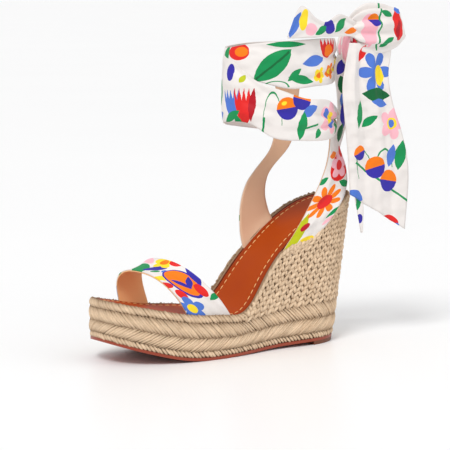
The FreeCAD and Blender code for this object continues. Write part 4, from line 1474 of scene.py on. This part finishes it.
def build_scarf(prints: dict[str, Material]) -> None:
    """Builds the wrap, the knot and the free ends.

    Args:
        prints: The printed cloth's materials by the words of PRINTS.
    """
    pieces = {
        "lower_turn": Turn(
            "lower_turn", "wrap_lower_turn", (54.0, 38.0), (0.045, 0.29),
            ((0, 180), (60, 176), (120, 182), (177, 188), (213, 187), (236, 176), (267, 172.6), (304, 172.4),
             (324, 175.4), (360, 180)),
            ((0, 194), (60, 205), (120, 230), (186, 239), (201, 231), (223, 221), (247, 214), (267, 208),
             (300, 205), (320, 199), (360, 194)),
            ((300, 0.3, 2.4), (322, 0.62, 2.8), (210, 0.82, 1.6), (250, 0.5, 1.2), (90, 0.5, 1.6))),
        "upper_turn": Turn(
            "upper_turn", "wrap_upper_turn", (52.2, 36.2), (0.034, 0.28),
            ((0, 226), (60, 222), (120, 228), (186, 232), (212, 224), (233, 219), (253, 215.6), (282, 217),
             (311, 218), (360, 226)),
            ((0, 252), (90, 252), (182, 249.6), (202, 251.6), (233, 254), (263, 255.4), (321, 255.9), (360, 252)),
            ((300, 0.25, 2.4), (315, 0.7, 2.4), (240, 0.86, 1.6), (60, 0.5, 1.6))),
        "knot": Bag(
            "knot", "bow_knot", "ankle_wrap",
            ((28, -22, 235, 1.5, 2.5), (26, -22.5, 239, 6.5, 9.5), (26, -23, 248, 8.2, 12.0),
             (27, -23, 257, 6.5, 10.5), (28, -22, 261, 1.5, 2.5)), 11, (0.22, 0.26)),
        "loop": Bag(
            "flared_loop", "bow_loop", "loop",
            ((19, -27, 264, 1.2, 5.0), (25, -29, 264, 4.0, 13.5), (34, -31, 263.5, 5.4, 18.5),
             (48, -32, 263, 5.8, 19.5), (60, -32, 264, 4.8, 18.0), (70, -31.5, 266.5, 3.0, 14.5),
             (74.5, -31, 268, 1.0, 12.0)), 9, (0.62, 0.14)),
        "tail": FreeCloth(
            "scarf_tail", ("long_tail",), "tail",
            ((17, -33.0, 252), (12, -34.5, 235), (8.5, -35, 215), (10.5, -35.5, 190), (14, -35.5, 160),
             (17, -35, 125)),
            ((62, -33.0, 250), (59.5, -34, 238), (57, -35, 222), (62, -36, 198), (72, -36.5, 172), (79, -36, 140),
             (76, -35.5, 92)),
            (0.062, 0.155), "hung", ((0.14, 0.05, 3.2), (0.33, 0.06, -3.0), (0.56, 0.06, 3.0), (0.80, 0.05, -2.2))),
        "runner": FreeCloth(
            "tie_runner", (), "ankle_wrap",
            ((11, -15, 152), (13, -18, 170), (15, -20, 190), (13, -21, 212), (9, -22, 230), (12, -23, 242)),
            ((23, -7, 152), (26, -11, 168), (28, -15, 185), (29, -17, 205), (27, -20, 225), (26, -22, 242)),
            (0.016, 0.092), "stretched", ((0.5, 0.2, 1.2),), rows=40, columns=15),
        "fold": FreeCloth(
            "tail_fold", ("tail_folded_edge",), "tail",
            ((21, -34.2, 130), (26, -34.2, 108), (29.5, -34.2, 92)),
            ((31, -34.2, 130), (32, -34.2, 108), (31.5, -34.2, 92)),
            (0.010, 0.038), "hung", area=0.0003, thickness=0.6, rows=20, columns=9),
        "ends": FreeCloth(
            "upper_ends", ("short_ends",), "ankle_wrap",
            ((30, -31.8, 252), (20, -32, 257), (4, -35.5, 257.5), (-12, -38, 257.5), (-30, -39, 257),
             (-51, -39, 257)),
            ((32, -31.8, 260), (24, -32, 269), (5, -35.5, 276), (-10, -38, 270), (-22, -39, 273), (-38, -39, 283),
             (-51, -39, 259)),
            (0.020, 0.085), "gathered", ((0.35, 0.12, 1.5), (0.7, 0.1, -1.2)), rows=60, columns=15),
    }
    for word, piece in pieces.items():
        piece.build(prints[word])


def main() -> None:
    """Builds the stage, the sole unit, the straps and the scarf, in that order."""
    logging.basicConfig(level=logging.INFO, format="%(message)s")
    Stage().build()
    build_hidden()
    sole = Sole()
    JuteWork(sole).build(Jute().material())
    Insole(sole).build(SockLeather().material(), Thread().material())
    lining = Leather("lining_leather", tone(226, 186, 154), tone(212, 168, 136), 1600.0, 0.55).material()
    # a brighter copy of the lining leather for the toe band's inside: painted light standing in for light its inside
    # does not get
    lining_painted_bright = Leather("band_lining_painted_bright", tone(255, 204, 146), tone(246, 188, 130), 1600.0, 0.5).material()
    prints = {word: Satin(f"{word}_print", shapes).material() for word, shapes in PRINTS.items()}
    ToeBand(sole).build(prints["toe_band"], lining_painted_bright)
    Tie("outer", -1,
        ((-50, -27.5, 73), (-47, -29.0, 82), (-37, -29.6, 95), (-24, -29.5, 113), (-11, -28.0, 132),
         (-2, -26.5, 148), (2, -26.0, 162), (3, -26.2, 176)),
        ((-16.5, -27.6, 80), (-13.0, -29.6, 91), (-3, -32.0, 103.5), (4.5, -31.6, 111.5), (14.5, -28.3, 121),
         (20, -25, 129), (23.5, -22, 137), (24.5, -17.5, 149), (23, -12, 162), (20, -10.6, 176))).build(
             prints["outer_tie"], lining)
    Tie("inner", 1,
        ((-51, 24.0, 72), (-51, 24.0, 77), (-52.0, 27.5, 93), (-50.5, 29.0, 115), (-44.5, 29.5, 132),
         (-35, 30.5, 143), (-17, 32.5, 161), (-12, 33.0, 180), (-12, 32.0, 216)),
        ((-22, 23.0, 97), (-22, 23.0, 102), (-23.5, 26.5, 109), (-26, 28.0, 122), (-24.5, 28.5, 134),
         (-19, 28.5, 144), (-1, 28.0, 162), (4, 26.0, 180), (8, 24.0, 216))).build(
             prints["inner_tie"], lining)
    build_scarf(prints)


if __name__ == "__main__":
    main()
